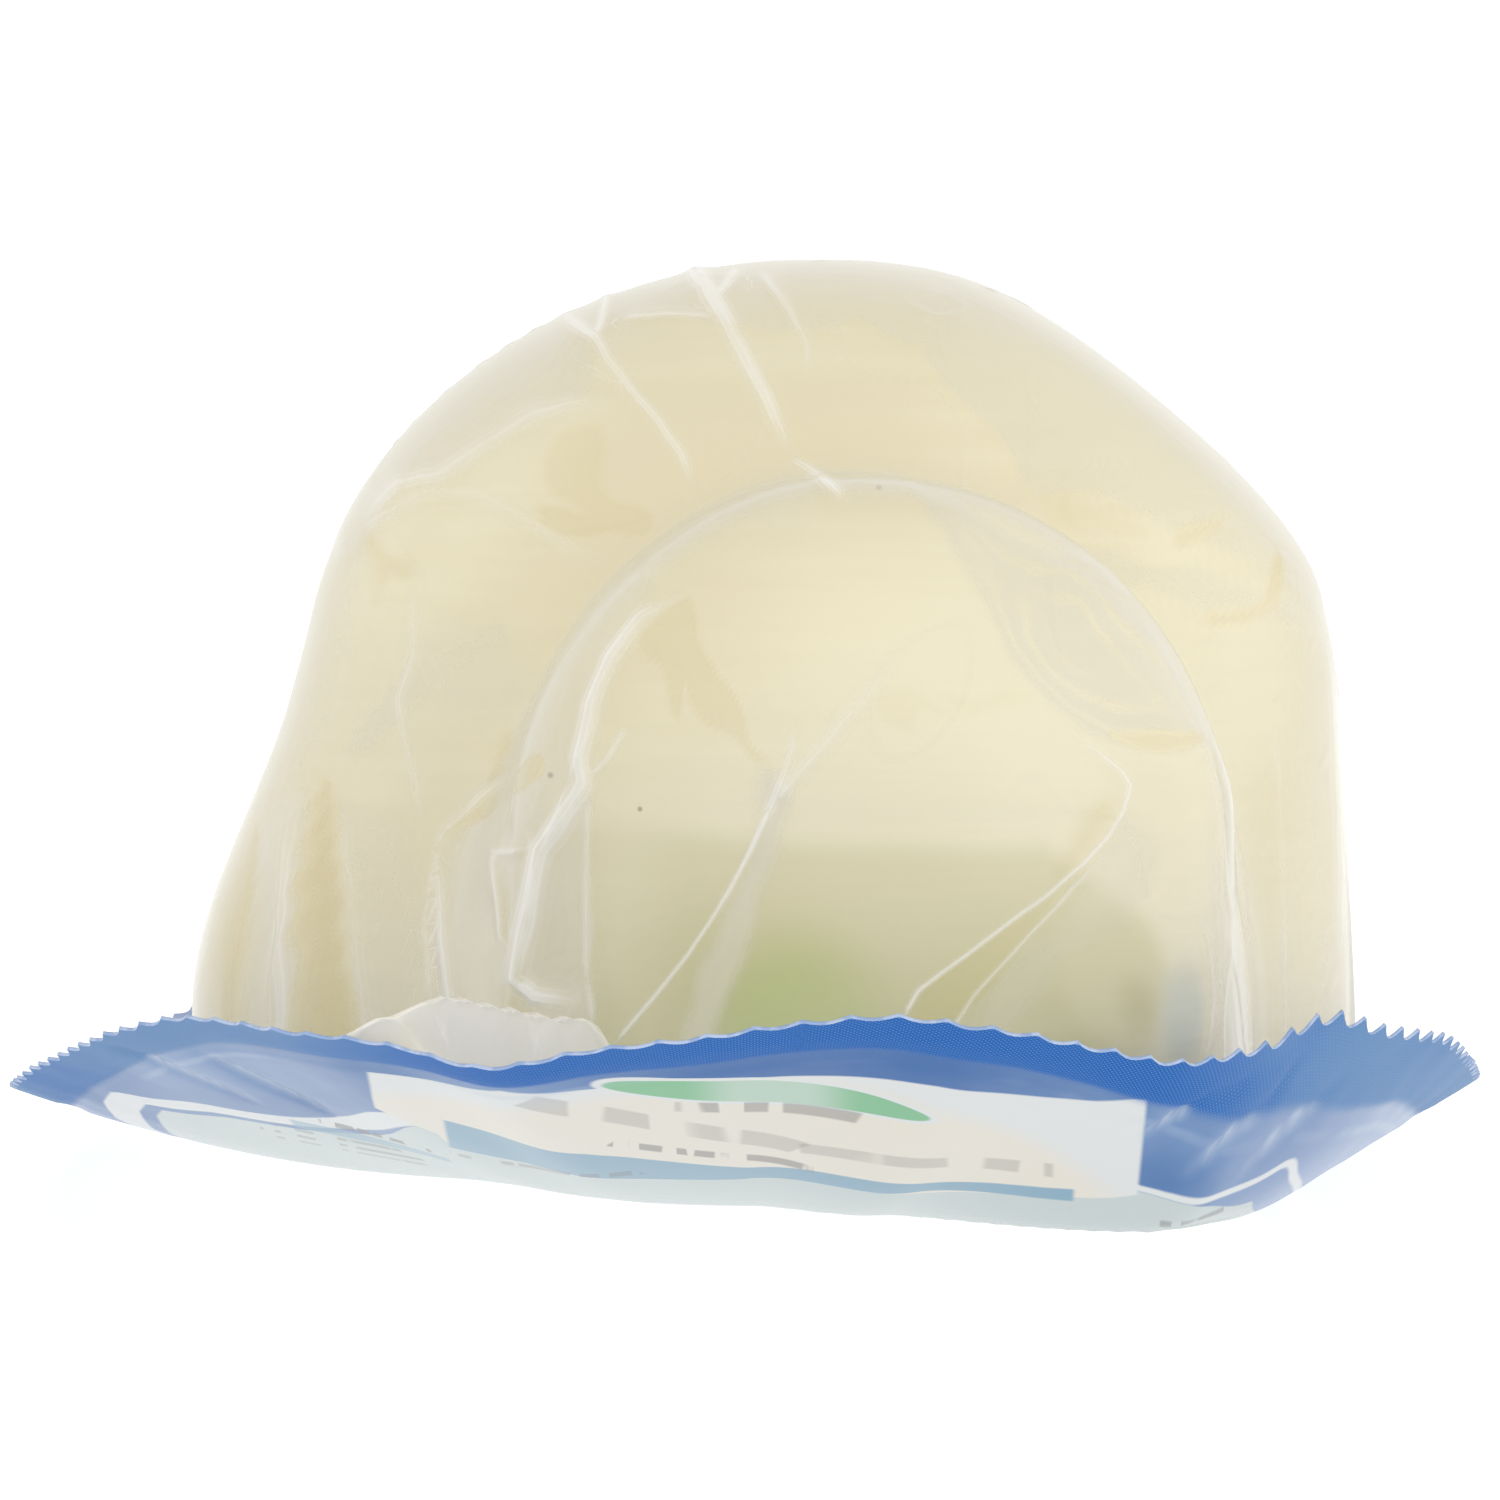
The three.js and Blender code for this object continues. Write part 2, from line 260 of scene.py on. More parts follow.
printedFilm = {
    "thickness": 0.25,
    "toothPitch": 3.05,
    "toothDepth": 0.6,
    "toothSteps": 6,
    "rows": 44,
    "rowsOut": 1.2,  # above 1 moves them in from the rim, where a sine sets them close together
    "cutFrom": 0.93,  # share of the way out at which the zigzag begins to show in the rows
    "liftPower": 1.5,
    "slant": 1.25,  # of the flange: millimetres along it for each one seen from above
    "sealWidth": 4.6,
    "sealFold": (0.22, 0.7),  # height and half width of the crease along the inner edge of the seal
    "ripples": [(0.12, (9, 14, 23), 4), (0.05, (41, 57), 5)],  # height, how many all round, and seed
    # the rim's underside, from the middle of the front round by the right
    "rim": [
        (3.3, -80, 16.5), (9.6, -80, 16.8), (15.8, -79, 16), (21.8, -76, 14.6), (28, -71, 13.2),
        (33.5, -64.5, 13.9), (38.6, -58, 15.5), (42.6, -52, 14.1), (47.6, -41, 12.6), (51.1, -25, 9.6),
        (54.5, 10, 5.2), (51.5, 42, 4.8), (40, 66, 9), (24, 77, 7.5), (0, 80, 8.5), (-24, 77, 7),
        (-39, 66.5, 9), (-51, 43, 4.6), (-54.5, 12, 4.8), (-52.1, -25, 8), (-47, -43, 11.5),
        (-42.4, -55, 13.9), (-37.6, -62.5, 15.4), (-29, -72, 15.1), (-22.5, -75.5, 14.6),
        (-16.9, -77.5, 13.3), (-10.5, -79, 14.5), (-3.1, -79.8, 15.5),
    ],
    # how far out the film lies flat, by the bearing from straight ahead in degrees towards +X
    "flatBearings": [-180, -90, -35, 0, 12, 30, 58, 90, 180],
    "flatShares": [0.6, 0.55, 0.34, 0.41, 0.5, 0.8, 0.74, 0.74, 0.6],
    # edges of the print as [x, y] seen from below: how far back each runs
    "printEdges": {
        "labelTop": [(-24.8, -67.6), (-16, -72.6), (-3, -72.6), (12, -71.6), (20, -69.6), (25.8, -67.9)],
        "labelFoot": [(-24.8, -57), (-20.6, -54), (-20, -50), (0, -50), (12, -51.5), (21.5, -55.5),
                      (25.8, -56.4)],
        "bandTop": [(-20.1, -59.6), (-11, -58.6), (0, -53.6), (12.2, -54.4), (21.4, -56.9)],
        "bandFoot": [(-20.4, -49.9), (-14.5, -50.3), (-0.7, -50), (9, -51.1), (21.5, -54.9)],
    },
    # the panel that the cheese stands on
    "panel": [
        (-44.6, -33.4), (-41.5, -35.4), (-38.5, -38.2), (-33.3, -41.2), (-28.4, -46.2), (-24.6, -56.4),
        (-20, -60), (20, -60), (27.1, -57), (31.1, -53.6), (34.4, -50.2), (36.8, -48.4), (37.4, -44.7),
        (38.2, -38), (38.6, 0), (38.6, 48), (34, 54), (-38, 54), (-44.4, 48), (-44.6, 0),
    ],
    # soft folds seen from below, as [x, y], with height and half width. They fade at both ends.
    "fadeIn": 0.25, "fadeOut": 0.2,
    "folds": [
        ([(24.6, -63.6), (27.6, -64.4), (30, -64.2), (33.6, -61.6)], 0.35, 0.5),
        ([(28.6, -58.4), (31.9, -58.9), (34.6, -57.6), (37, -58.4)], 0.45, 0.6),
        ([(32.6, -53.8), (36.7, -52.4), (40.2, -51)], 0.4, 0.55),
        ([(-27.6, -47.6), (-32.6, -51.6), (-36.4, -55.4)], 0.45, 0.8),
        ([(-33, -45), (-39, -49), (-44, -51)], 0.35, 0.8),
        ([(28, 48), (34, 56), (38, 64)], 0.5, 1.0),
        ([(-26, 50), (-33, 57), (-37, 64)], 0.5, 1.0),
        ([(36, 34), (43, 42), (49, 45)], 0.4, 0.9),
        ([(-37, 30), (-44, 38), (-49, 46)], 0.4, 0.9),
    ],
}

rimCurve = closedCurve(printedFilm["rim"], 120)
rimAngles = np.arctan2(rimCurve[:, 1], rimCurve[:, 0])
rimRadii = np.hypot(rimCurve[:, 0], rimCurve[:, 1])
rimSteps = np.linalg.norm(np.roll(rimCurve, -1, axis=0) - rimCurve, axis=1)
rimAlong = np.concatenate([[0], np.cumsum(rimSteps)])
toothCount = round(rimAlong[-1] / printedFilm["toothPitch"])


def rimAt(angle):
    radius = np.interp(angle, rimAngles, rimRadii, period=2 * math.pi)
    height = np.interp(angle, rimAngles, rimCurve[:, 2], period=2 * math.pi)
    return radius, height


def flatShareAt(angle):
    bearing = np.degrees(np.arctan2(np.cos(angle), -np.sin(angle)))
    marks, shares = printedFilm["flatBearings"], printedFilm["flatShares"]
    share = np.full(bearing.shape, shares[0])
    for low, high, start, end in zip(marks[:-1], marks[1:], shares[:-1], shares[1:]):
        share = np.where(bearing >= low, mixed(start, end, smooth(bearing, low, high)), share)
    return share


def lifted(share, angle):
    flat = flatShareAt(angle)
    return np.maximum((share - flat) / (1 - flat), 0) ** printedFilm["liftPower"]


def filmHeight(x, y):
    # the printed film's underside over the table
    angle = np.arctan2(y, x)
    radius, height = rimAt(angle)
    share = np.hypot(x, y) / radius
    rise = height * lifted(share, angle)
    creased = np.zeros(x.shape)
    for path, height, width in printedFilm["folds"]:
        side, along = nearPath(x, y, path)
        ends = smooth(along, 0, printedFilm["fadeIn"]) * smooth(1 - along, 0, printedFilm["fadeOut"])
        creased = creased + height * np.exp(-np.abs(side / width) ** 1.5) * ends
    foldHeight, foldWidth = printedFilm["sealFold"]
    fromSeal = radius * (1 - share) - printedFilm["sealWidth"]
    sealFold = foldHeight * np.exp(-(fromSeal / foldWidth) ** 2)
    ripple = sum(height * waves(angle, counts, seed) for height, counts, seed in printedFilm["ripples"])
    loose = smooth(rise, 0.5, 3)  # only where it is off the table
    return rise + (creased * smooth(1 - share, 0, 0.03) + sealFold + ripple * smooth(share, 0.7, 1)) * loose


def printedPlace(u, v):
    alongRim = u * rimAlong[-1]
    angle = np.interp(alongRim, rimAlong[:-1], np.unwrap(rimAngles))
    angle = np.where(u >= 1 - 1e-6, rimAngles[0] + 2 * math.pi, angle)
    radius, _ = rimAt(angle)
    cut = printedFilm["toothDepth"] * np.abs(np.sin(math.pi * u * toothCount))
    share = np.sin(v * math.pi / 2) ** printedFilm["rowsOut"]
    out = radius * share - cut * smooth(share, printedFilm["cutFrom"], 1)
    x, y = out * np.cos(angle), out * np.sin(angle)
    # painted sheen along the folds
    paintedSheen = np.zeros(x.shape)
    for path, _, width in printedFilm["folds"]:
        side, along = nearPath(x, y, path)
        ends = smooth(along, 0, 0.3) * smooth(1 - along, 0, 0.3)
        paintedSheen = np.maximum(paintedSheen, ends * np.exp(-np.abs(side / width / 0.8) ** 1.5))
    marks = {"fromRim": (radius - out) * printedFilm["slant"], "alongRim": alongRim, "paintedSheen": paintedSheen}
    for name, edge in printedFilm["printEdges"].items():
        marks[name] = y - np.interp(x, *zip(*edge))
    marks["intoPanel"] = -outsideOutline(x, y, printedFilm["panel"])
    return x, y, filmHeight(x, y), marks


# the cheese and the clear film share one field, which says how far outside a place is
body = {
    "centre": (5.2, 17, 34), "half": (39.3, 38, 33), "skirt": (10, 40),
    "skirtOut": {"left": 0.216, "right": 0.034, "front": 0.05, "rear": 0.13},
    "under": 400,  # how deep the cheese itself would reach, were it not lying on the table
}
head = {
    "centre": (8.3, -27, 24.8), "half": (25.4, 20.5, 26), "skirt": (7, 28),
    "skirtOut": {"left": 0.06, "right": 0.03, "front": 0.42, "rear": 0.05},
    "under": 44,
}
pear = {
    "neckLow": (14, 15),  # at this height and below, this softly the head runs into the body
    "neckHigh": (40, 7),
    "cheeseNeck": 0.92,  # share of that softness that the cheese has under the film
    "lean": math.radians(40), "pressedAt": 33.9, "pressedBlend": 4,
    "heart": (7, -5, 24),
}


def outsideLobe(x, y, z, lobe, filled):
    # filled is the share of the clear film's skirt that the cheese fills, or None for the film
    x, y = x - lobe["centre"][0], y - lobe["centre"][1]
    sides = lobe["skirtOut"]
    beside = np.where(x > 0, sides["right"], sides["left"])
    ahead = np.where(y > 0, sides["rear"], sides["front"])
    sideways = x * x / np.maximum(x * x + y * y, 1e-9)
    drop = 1 - smooth(z, *lobe["skirt"])
    spread = 1 + drop * mixed(ahead, beside, sideways) * (1 if filled is None else filled)
    halfX, halfY, halfZ = lobe["half"]
    across = np.hypot(x / halfX, y / halfY) / spread
    above = np.maximum(z - lobe["centre"][2], 0) / halfZ
    below = 0 if filled is None else np.maximum(lobe["centre"][2] - z, 0) / lobe["under"]
    return (np.sqrt(across ** 2 + above ** 2 + below ** 2) - 1) * min(lobe["half"])


def outsideCheese(x, y, z, filled=None):
    leaning = (x - body["centre"][0]) * math.sin(pear["lean"])
    leaning = leaning + (z - body["centre"][2]) * math.cos(pear["lean"]) - pear["pressedAt"]
    toBody = softMax(outsideLobe(x, y, z, body, filled), leaning, pear["pressedBlend"])
    (low, lowBlend), (high, highBlend) = pear["neckLow"], pear["neckHigh"]
    blend = mixed(lowBlend, highBlend, smooth(z, low, high)) * (1 if filled is None else pear["cheeseNeck"])
    return -softMax(-toBody, -outsideLobe(x, y, z, head, filled), blend)


cheese = {
    "name": "scamorza",
    "columns": 240,
    "rows": 150,
    "filled": 1.0,
    "inside": 0.3,  # this far inside the clear film where they touch
    "lift": 0.15,
    "settled": 3.5,  # how softly its sides turn into its flat underside
}


def cheesePlace(u, v):
    turn, rise = u * 2 * math.pi, (v - 0.5) * math.pi
    aim = (np.cos(rise) * np.cos(turn), np.cos(rise) * np.sin(turn), np.sin(rise))

    def pathAt(distance):
        return tuple(start + distance * way for start, way in zip(pear["heart"], aim))

    def outside(x, y, z):
        floor = filmHeight(x, y) + printedFilm["thickness"] + cheese["lift"]
        skin = outsideCheese(x, y, z, cheese["filled"]) + cheese["inside"]
        return softMax(skin, floor - z, cheese["settled"])

    return *pathAt(reachOut(pathAt, outside, len(u))), {}


clearFilm = {
    "name": "clear_film",
    "columns": 440,
    "rows": 226,
    "frontArc": math.radians(124),  # the front, as an angle at the heart, and its share of the columns
    "frontShare": 0.74,
    "skirtRows": 0.1,  # share of the rows that lie on the printed film outside the foot
    "lowRows": 1.3,  # above 1 sets the rows closer together low down
    "sealAt": 0.97,  # share of the way out at which it is welded to the printed film
    "lift": 0.12,
    "highest": 66.99,
    "frontTo": 20,  # what is placed as seen from the front ends by this far back
    # where the film stands up behind the rim, left of the head: its crest seen from above
    "tent": {
        "crest": [(-26.6, -72), (-23.4, -68.8), (-20.8, -64.2), (-16, -62.6), (-11.4, -61.4), (-7.5, -55.5)],
        "heights": [0.5, 3.6, 6.9, 7.9, 8.0, 4.0],
        "width": 2.4,
    },
    "tentFolds": [
        [(-20.8, -64.2), (-19.6, -66.4), (-17.4, -69.6)],
        [(-14.6, -62.2), (-13.2, -65.4), (-13, -70)],
    ],
    "pleats": 46,  # seeded ones at the foot, all round
    "pleatHeight": 0.8,
    "humps": 1.3,  # how much higher they are on the skirt
    "creaseSize": 15,  # fine seeded creases everywhere: how far apart, and how high
    "creaseHeight": 0.22,
    "creaseWidth": 0.12,  # in the height of the waves that place them
    "neckCrease": ((28, 31), (-31, -27), (4, 8)),  # the deep one on the right: from x, from y, to -y
    "bulge": 0.22,  # how far a veil stands off
    "drift": [(0.3, 9, 3), (0.12, 3.5, 4)],  # how the veils' edges wander: how far, how long, and seed
    # folds that show from the front: path as [x, z] there, height and half width of the ridge, half width
    # of the gathered band, its painted highlight, and over what share of its length it fades in and out
    "fades": (0.16, 0.16),  # where a fold says nothing else
    "mainFolds": [
        # down the left of the head and round its foot
        ([(-4.3, 42.9), (-7.4, 40.8), (-9.4, 38), (-10.7, 34.8), (-11.4, 31.4), (-11.2, 29.6), (-13, 26.8),
          (-14.3, 25), (-14.8, 22), (-15.6, 18.8), (-16, 16.3), (-14.6, 15.3), (-11.8, 15.2),
          (-11.9, 14.4)], 0.7, 0.8, 0.95, 0.9),
        # across the head: a broad band above, a sharp line below
        ([(11.4, 40.5), (8.7, 36.9), (6.6, 34.6), (4.4, 32),
          (1.9, 29.2)], 0.4, 1.0, 1.0, 0.42, (0.6, 0.02)),
        ([(1.6, 28.8), (0.1, 25.5), (-1.2, 23), (-2.5, 20.9), (-4, 18.7), (-5.7, 16.6),
          (-8.7, 13)], 0.6, 0.6, 0.26, 0.9, (0.1, 0.02)),
        # the loop on the right of the head
        ([(20.3, 34.9), (23.1, 32.4), (25.2, 30.6), (25.8, 29.6), (25.3, 28), (24.2, 26.2), (22.5, 24.5),
          (20.2, 22.7), (17.1, 20.6), (14.1, 18.5), (11.2, 16.5),
          (10.4, 15.2)], 0.5, 0.6, 0.28, 0.8, (0.3, 0.01)),
        # over the crown of the body
        ([(-14.5, 63), (-12.6, 61.6), (-11.3, 60.7), (-10.3, 59.1), (-8.3, 56.5), (-6.5, 54.4), (-4.9, 52.2),
          (-3.8, 49.6)], 0.4, 0.9, 0.7, 0.6),
        ([(-4.5, 66.5), (-2.7, 63.5), (-1.6, 61.6), (-0.5, 59.6), (0.4, 57.7), (1.3, 56.2), (2.3, 53.6),
          (2.9, 51.6)], 0.45, 0.9, 0.95, 0.8, (0.05, 0.3)),
        # from the pinch high on the left
        ([(-29, 47), (-26, 49.8), (-22.7, 50.4), (-18, 53.5), (-15.5, 55),
          (-9.9, 56.2)], 0.4, 1.1, 1.2, 0.34),
        ([(-24.4, 43.7), (-24.3, 37.7), (-25.4, 34.5), (-25, 31.8), (-23.9, 28.2),
          (-23.7, 25.1)], 0.35, 0.8, 0.7, 0.3),
        # down the web on the left, and down the right flank
        ([(-33.1, 28.5), (-33.4, 23.1), (-33.4, 16.7), (-33.4, 8)], 0.8, 1.3, 1.2, 0.42, (0.4, 0.01)),
        ([(31.4, 34.5), (32.6, 31), (34.1, 26), (35.2, 20), (35.6, 15.9),
          (35.2, 10)], 0.4, 1.1, 0.9, 0.14, (0.3, 0.01)),
    ],
    # the smaller ones that branch off
    "sideFolds": [
        ([(-11, 30), (-9.7, 31.5), (-8.3, 33.7)], 0.25, 0.6, 0.45, 0.55),
        ([(-11, 29.2), (-11.1, 25.2), (-11.1, 17.8), (-10.4, 12.8)], 0.2, 0.5, 0.4, 0.3, (0.1, 0.02)),
        ([(-14.3, 25.4), (-16.5, 24.7), (-17.7, 24.4), (-17.9, 23.6), (-17.4, 21.3), (-17.1, 18.9),
          (-16.2, 17.5)], 0.3, 0.5, 0.34, 0.3),
        ([(3.1, 34.5), (2.8, 32.2), (2.2, 30.3), (1.1, 27.7)], 0.2, 0.6, 0.6, 0.45, (0.3, 0.1)),
        ([(24.3, 25.3), (21.7, 22.8), (17.8, 19), (15, 16.2),
          (13.4, 14)], 0.35, 0.6, 0.3, 0.5, (0.2, 0.02)),
        ([(-10.6, 64.5), (-11, 62), (-11.3, 60.7)], 0.25, 0.6, 0.5, 0.5),
        ([(-9.5, 62.3), (-6, 62.5), (-2.2, 62.2)], 0.2, 0.6, 0.35, 0.4),
        ([(-0.8, 66), (-1.9, 64.5), (-2.7, 63.5)], 0.2, 0.6, 0.6, 0.5),
        ([(0.6, 66), (1.9, 64.1), (3.2, 62.2), (4.1, 60.3), (4.2, 57.7)], 0.2, 0.6, 0.5, 0.34),
        ([(2.8, 51.9), (3.9, 51.2), (5, 50.5), (6.6, 49)], 0.3, 0.6, 0.6, 0.5),
        ([(-29, 46.5), (-23.3, 49.4), (-19.4, 49.2), (-15.3, 46.8), (-12.5, 45.3),
          (-10, 44.1)], 0.35, 0.9, 1.1, 0.3),
        ([(-16.6, 30), (-18.8, 28), (-20.2, 26.5), (-21.9, 25.2), (-22.4, 23.8), (-21.9, 20.1),
          (-21.6, 17.3), (-20.8, 13)], 0.4, 0.8, 0.7, 0.38, (0.2, 0.05)),
        ([(-22.5, 24.2), (-23.2, 19), (-22.6, 13)], 0.2, 0.6, 0.5, 0.3),
        ([(-29.5, 25.8), (-28.6, 18.2), (-27.2, 9)], 0.3, 1.1, 1.2, 0.24),
        ([(38.4, 33), (38.9, 26), (39.2, 14)], 0.2, 0.8, 0.5, 0.22),
        ([(43.5, 39), (44, 33.6), (44.2, 26.1), (44.2, 14)], 0.3, 0.9, 0.9, 0.24),
    ],
    # where the film stands off the cheese as a pale veil: outline as [x, z] seen from the front, how much
    # it covers, how strongly it is rippled and how soft its edge is
    "veils": [
        # over the crown, and on its right
        ([(-30.7, 44.4), (-26, 49.5), (-22.5, 50.4), (-18, 53.5), (-13.9, 55.4), (-11.7, 57.4),
          (-11.3, 60.5), (-9.4, 62.1), (-2.2, 62.2), (2.9, 61.2), (8.1, 62), (12.8, 60.3), (15.7, 64.6),
          (16, 71.6), (-19, 71.6), (-34.2, 54.9)], 0.32, 0.15, 0.4),
        ([(13.1, 64.5), (12.9, 59.3), (15.5, 55.6), (18.5, 52.6), (20.6, 49.3), (23.5, 49.9), (27.6, 48.2),
          (30.9, 46.9), (34.9, 45.4), (38.9, 43.3), (44.8, 40.1), (49.2, 48.8), (33.8, 69.9),
          (16, 71.6)], 0.36, 0.6, 0.5),
        ([(21.4, 45.6), (26, 45.4), (32, 43.8), (39, 41.6), (41.6, 39.8), (35.9, 40.9), (32, 41.5),
          (25.9, 42.8), (22.4, 44)], 0.3, 0.3, 0.5),
        # on the right of the head
        ([(10.8, 50.3), (13.7, 49.1), (16.5, 47.4), (20.9, 45.2), (24.1, 43.5), (26.6, 41), (29, 38.2),
          (30.8, 35), (31.7, 32.5), (27.4, 32.4), (25.2, 32.6), (21.8, 34.2), (18.6, 37.2), (16.8, 40.4),
          (15.6, 42.9), (14.1, 46), (12.4, 48.1)], 0.42, 0.55, 0.45),
        # along the neck, on both sides of its line
        ([(-7.8, 45), (-6.4, 46.5), (-3.6, 48.4), (0.5, 50.4), (5.1, 51.1), (10.9, 50.6), (10.8, 49.4),
          (5, 49.6), (0.7, 48.4), (-3.1, 46.4), (-5.7, 44.4)], 0.24, 0, 0.9),
        ([(-7.7, 44.9), (-6.6, 43.2), (-8.3, 40.5), (-10.3, 36.7), (-11.3, 33.3), (-11.3, 29.9),
          (-13.1, 27.1), (-14.5, 25.3), (-17, 25.5), (-16.2, 29), (-15.2, 33.8), (-13.5, 38.6),
          (-11, 42.6)], 0.34, 0.2, 0.9),
        ([(31.7, 32.7), (34.5, 29.7), (35.4, 23.5), (36, 19.6), (36.6, 15.6), (37.1, 8), (31.9, 8),
          (32.6, 17.3), (33.1, 21.3), (32.8, 26.1), (31.9, 29.7)], 0.14, 0.2, 0.9),
        # beside the sharp lines on the head
        ([(1, 30.9), (2.7, 29.9), (2.2, 26.9), (1, 23.6), (0, 20.5), (-0.8, 18.3), (-2.1, 15.3), (-2.8, 12),
          (-4.4, 12), (-3.4, 15.7), (-2.6, 18.4), (-1.7, 20.6), (-0.5, 23.6), (0.7, 26.8)], 0.5, 0, 0.7),
        ([(-14.1, 25), (-10.9, 28.6), (-11.1, 25.2), (-11.2, 17.9), (-11.9, 16.8), (-15.1, 15.8),
          (-15.7, 17.4), (-15.2, 20.8)], 0.42, 0.2, 0.3),
        ([(-15.8, 16), (-12, 16.4), (-10.6, 15.2), (-11.6, 13), (-14.2, 13.4)], 0.5, 0, 0.4),
        ([(25.4, 28), (27.8, 25.6), (26.2, 21.2), (20.6, 17.8), (15.6, 12), (13, 12), (17.8, 17.8),
          (22.4, 22.4)], 0.2, 0, 0.8),
        # down the web on the left
        ([(-36.4, 24.2), (-34.6, 26.6), (-32.9, 27.5), (-32, 26.8), (-32.2, 23.2), (-32.2, 8), (-36.4, 8),
          (-37, 17.1)], 0.36, 0, 0.9),
        ([(-30.8, 26.2), (-29.1, 22.7), (-27, 9), (-22.7, 9), (-23.7, 20.2), (-26.1, 25.7)], 0.26, 0, 1.4),
        ([(-24.6, 38.6), (-19.6, 40.4), (-15.6, 37.2), (-15.8, 34), (-19.2, 33.4),
          (-23.4, 34.8)], 0.24, 0, 1.8),
        ([(-29.2, 30.2), (-28, 33), (-26, 35.4), (-22, 38), (-18.2, 39.8), (-17.8, 38.6), (-21.8, 36.4),
          (-25, 33.6), (-27, 31)], 0.34, 0, 0.7),
        ([(-21.4, 24.4), (-17.8, 27.6), (-15.6, 24.6), (-17.6, 14), (-21.2, 12)], 0.26, 0, 1.2),
    ],
    # where it clings to the wet cheese, which shows darker: outline, how much darker, and how soft
    "wetPatches": [
        ([(-4.1, 42.6), (-3.6, 39.6), (-2.1, 37), (-0.7, 35.4), (0.1, 32.8), (1.4, 31.3), (0.1, 31.7),
          (-1.2, 33), (-3.4, 34.3), (-4.5, 36.8), (-4.9, 34.2), (-5.6, 35.5), (-6, 37.6), (-7.3, 38.4),
          (-7.6, 39.5), (-6, 41.3)], 0.2, 0.14),
        ([(-14.9, 52.4), (-13.1, 53.9), (-10.9, 54.4), (-10.4, 52.6), (-10.8, 50.6), (-10, 49), (-7.9, 48.6),
          (-6.8, 47.6), (-7.3, 46.3), (-10.1, 46.8), (-12.3, 48.6), (-14.4, 49.7)], 0.18, 0.3),
        # the two grooves down the left
        ([(-31.6, 28.5), (-31, 28), (-30.6, 23.3), (-29.6, 18.1), (-28.6, 8), (-31.9, 8), (-31.9, 16.1),
          (-31.8, 21.8)], 0.5, 0.6),
        ([(-38.6, 25), (-37.3, 24.2), (-37.3, 19.9), (-38, 14.7), (-38.7, 8), (-41.6, 8), (-40.9, 14.3),
          (-39.8, 19.8)], 0.34, 0.9),
        # inside the loop, and under it
        ([(20.6, 23.4), (22.1, 26.8), (23.8, 28.9), (25.1, 28.7), (24.1, 26.4), (22.4, 24.6)], 0.26, 0.9),
        ([(24.4, 26.6), (23.5, 25), (17.8, 19), (13.7, 14.5), (10.8, 14.5), (12.3, 17), (17.1, 20.3),
          (22.5, 24.4)], 0.16, 0.3),
        # small ones on the left of the body
        ([(-17.4, 32.6), (-17, 31.8), (-17.9, 30), (-17, 29.5), (-14.6, 31.4), (-14.2, 30.6), (-16.6, 28.6),
          (-18.5, 26.8), (-20.2, 25.7), (-21.9, 24.5), (-20.7, 26.6), (-18.6, 28.4),
          (-18.6, 30.2)], 0.24, 0.3),
        ([(-28.1, 45.9), (-26.2, 45.1), (-24.8, 44.5), (-24.9, 43.1), (-26.6, 42.7), (-27.6, 40.1),
          (-28.2, 41.5), (-28, 43.7)], 0.2, 0.6),
        ([(-15.3, 48.4), (-12.5, 48), (-9.8, 46.9), (-12.2, 46.4), (-14.6, 47.2)], 0.2, 0.15),
        # between the veils on the right
        ([(21, 49), (25, 48.6), (29, 47), (29, 46), (25, 46.8), (21.8, 47)], 0.12, 0.5),
        ([(31, 46.4), (34.4, 47.2), (33.2, 46.3), (31, 45.6)], 0.24, 0.3),
        ([(37.4, 41.3), (39, 44.4), (39.3, 42.6), (38.3, 40.9), (33.4, 39.8), (33.2, 40.4)], 0.24, 0.3),
        ([(24.6, 33), (28, 32.1), (31.4, 32.6), (28, 32.9)], 0.26, 0.3),
        # faint ones in the middle of the head
        ([(8.6, 36.2), (10.6, 36.5), (12.4, 35.6), (13.4, 34.6), (11.6, 34.9), (10.9, 33.6), (9.4, 33.9),
          (8.2, 35.1)], 0.1, 0.4),
        ([(12.6, 36.2), (15, 35.8), (18, 36.3), (20, 35.4), (17.6, 35.2), (14.6, 34.8)], 0.09, 0.4),
    ],
}


def columnTurn(u):
    # bearing of a column: closer together in front
    front, share = clearFilm["frontArc"], clearFilm["frontShare"]
    rear = 2 * math.pi - front
    inFront = -math.pi / 2 - front / 2 + u / share * front
    behind = -math.pi / 2 + front / 2 + (u - share) / (1 - share) * rear
    return np.where(u < share, inFront, behind)


def floorUnder(x, y):
    return filmHeight(x, y) + printedFilm["thickness"] + clearFilm["lift"]


def nearFold(x, z, folds):
    # relief of some folds, with how far aside of the nearest one a point is, in band widths, and its shine
    relief = np.zeros(x.shape)
    side = np.full(x.shape, 6.0)
    shine = np.zeros(x.shape)
    for path, height, width, band, peak, *fades in folds:
        away, along = nearPath(x, z, path)
        fadeIn, fadeOut = fades[0] if fades else clearFilm["fades"]
        ends = smooth(along, -0.02, fadeIn) * smooth(1 - along, -0.02, fadeOut)
        ridge = np.exp(-np.abs(away / width) ** 1.6)
        relief = np.maximum(relief, height * ridge * ends)
        closer = np.abs(away / band) < np.abs(side)
        side = np.where(closer, away / band, side)
        shine = np.where(closer, peak * ends, shine)
    return relief, side, shine * smooth(3 - np.abs(side), 0, 1.5)


def veilsAt(x, z, drift):
    # how far outside the nearest veil a point is, how much they cover and how strongly they are rippled
    edge = np.full(x.shape, 6.0)
    cover = np.zeros(x.shape)
    ripples = np.zeros(x.shape)
    for outline, most, rippled, soft in clearFilm["veils"]:
        away = outsideOutline(x, z, outline) + drift
        inside = smooth(-away, -soft, soft)
        edge = np.minimum(edge, away)
        cover = np.maximum(cover, most * inside)
        ripples = np.maximum(ripples, rippled * inside * smooth(3.6 + away, 0, 1.4))
    return edge, cover, ripples


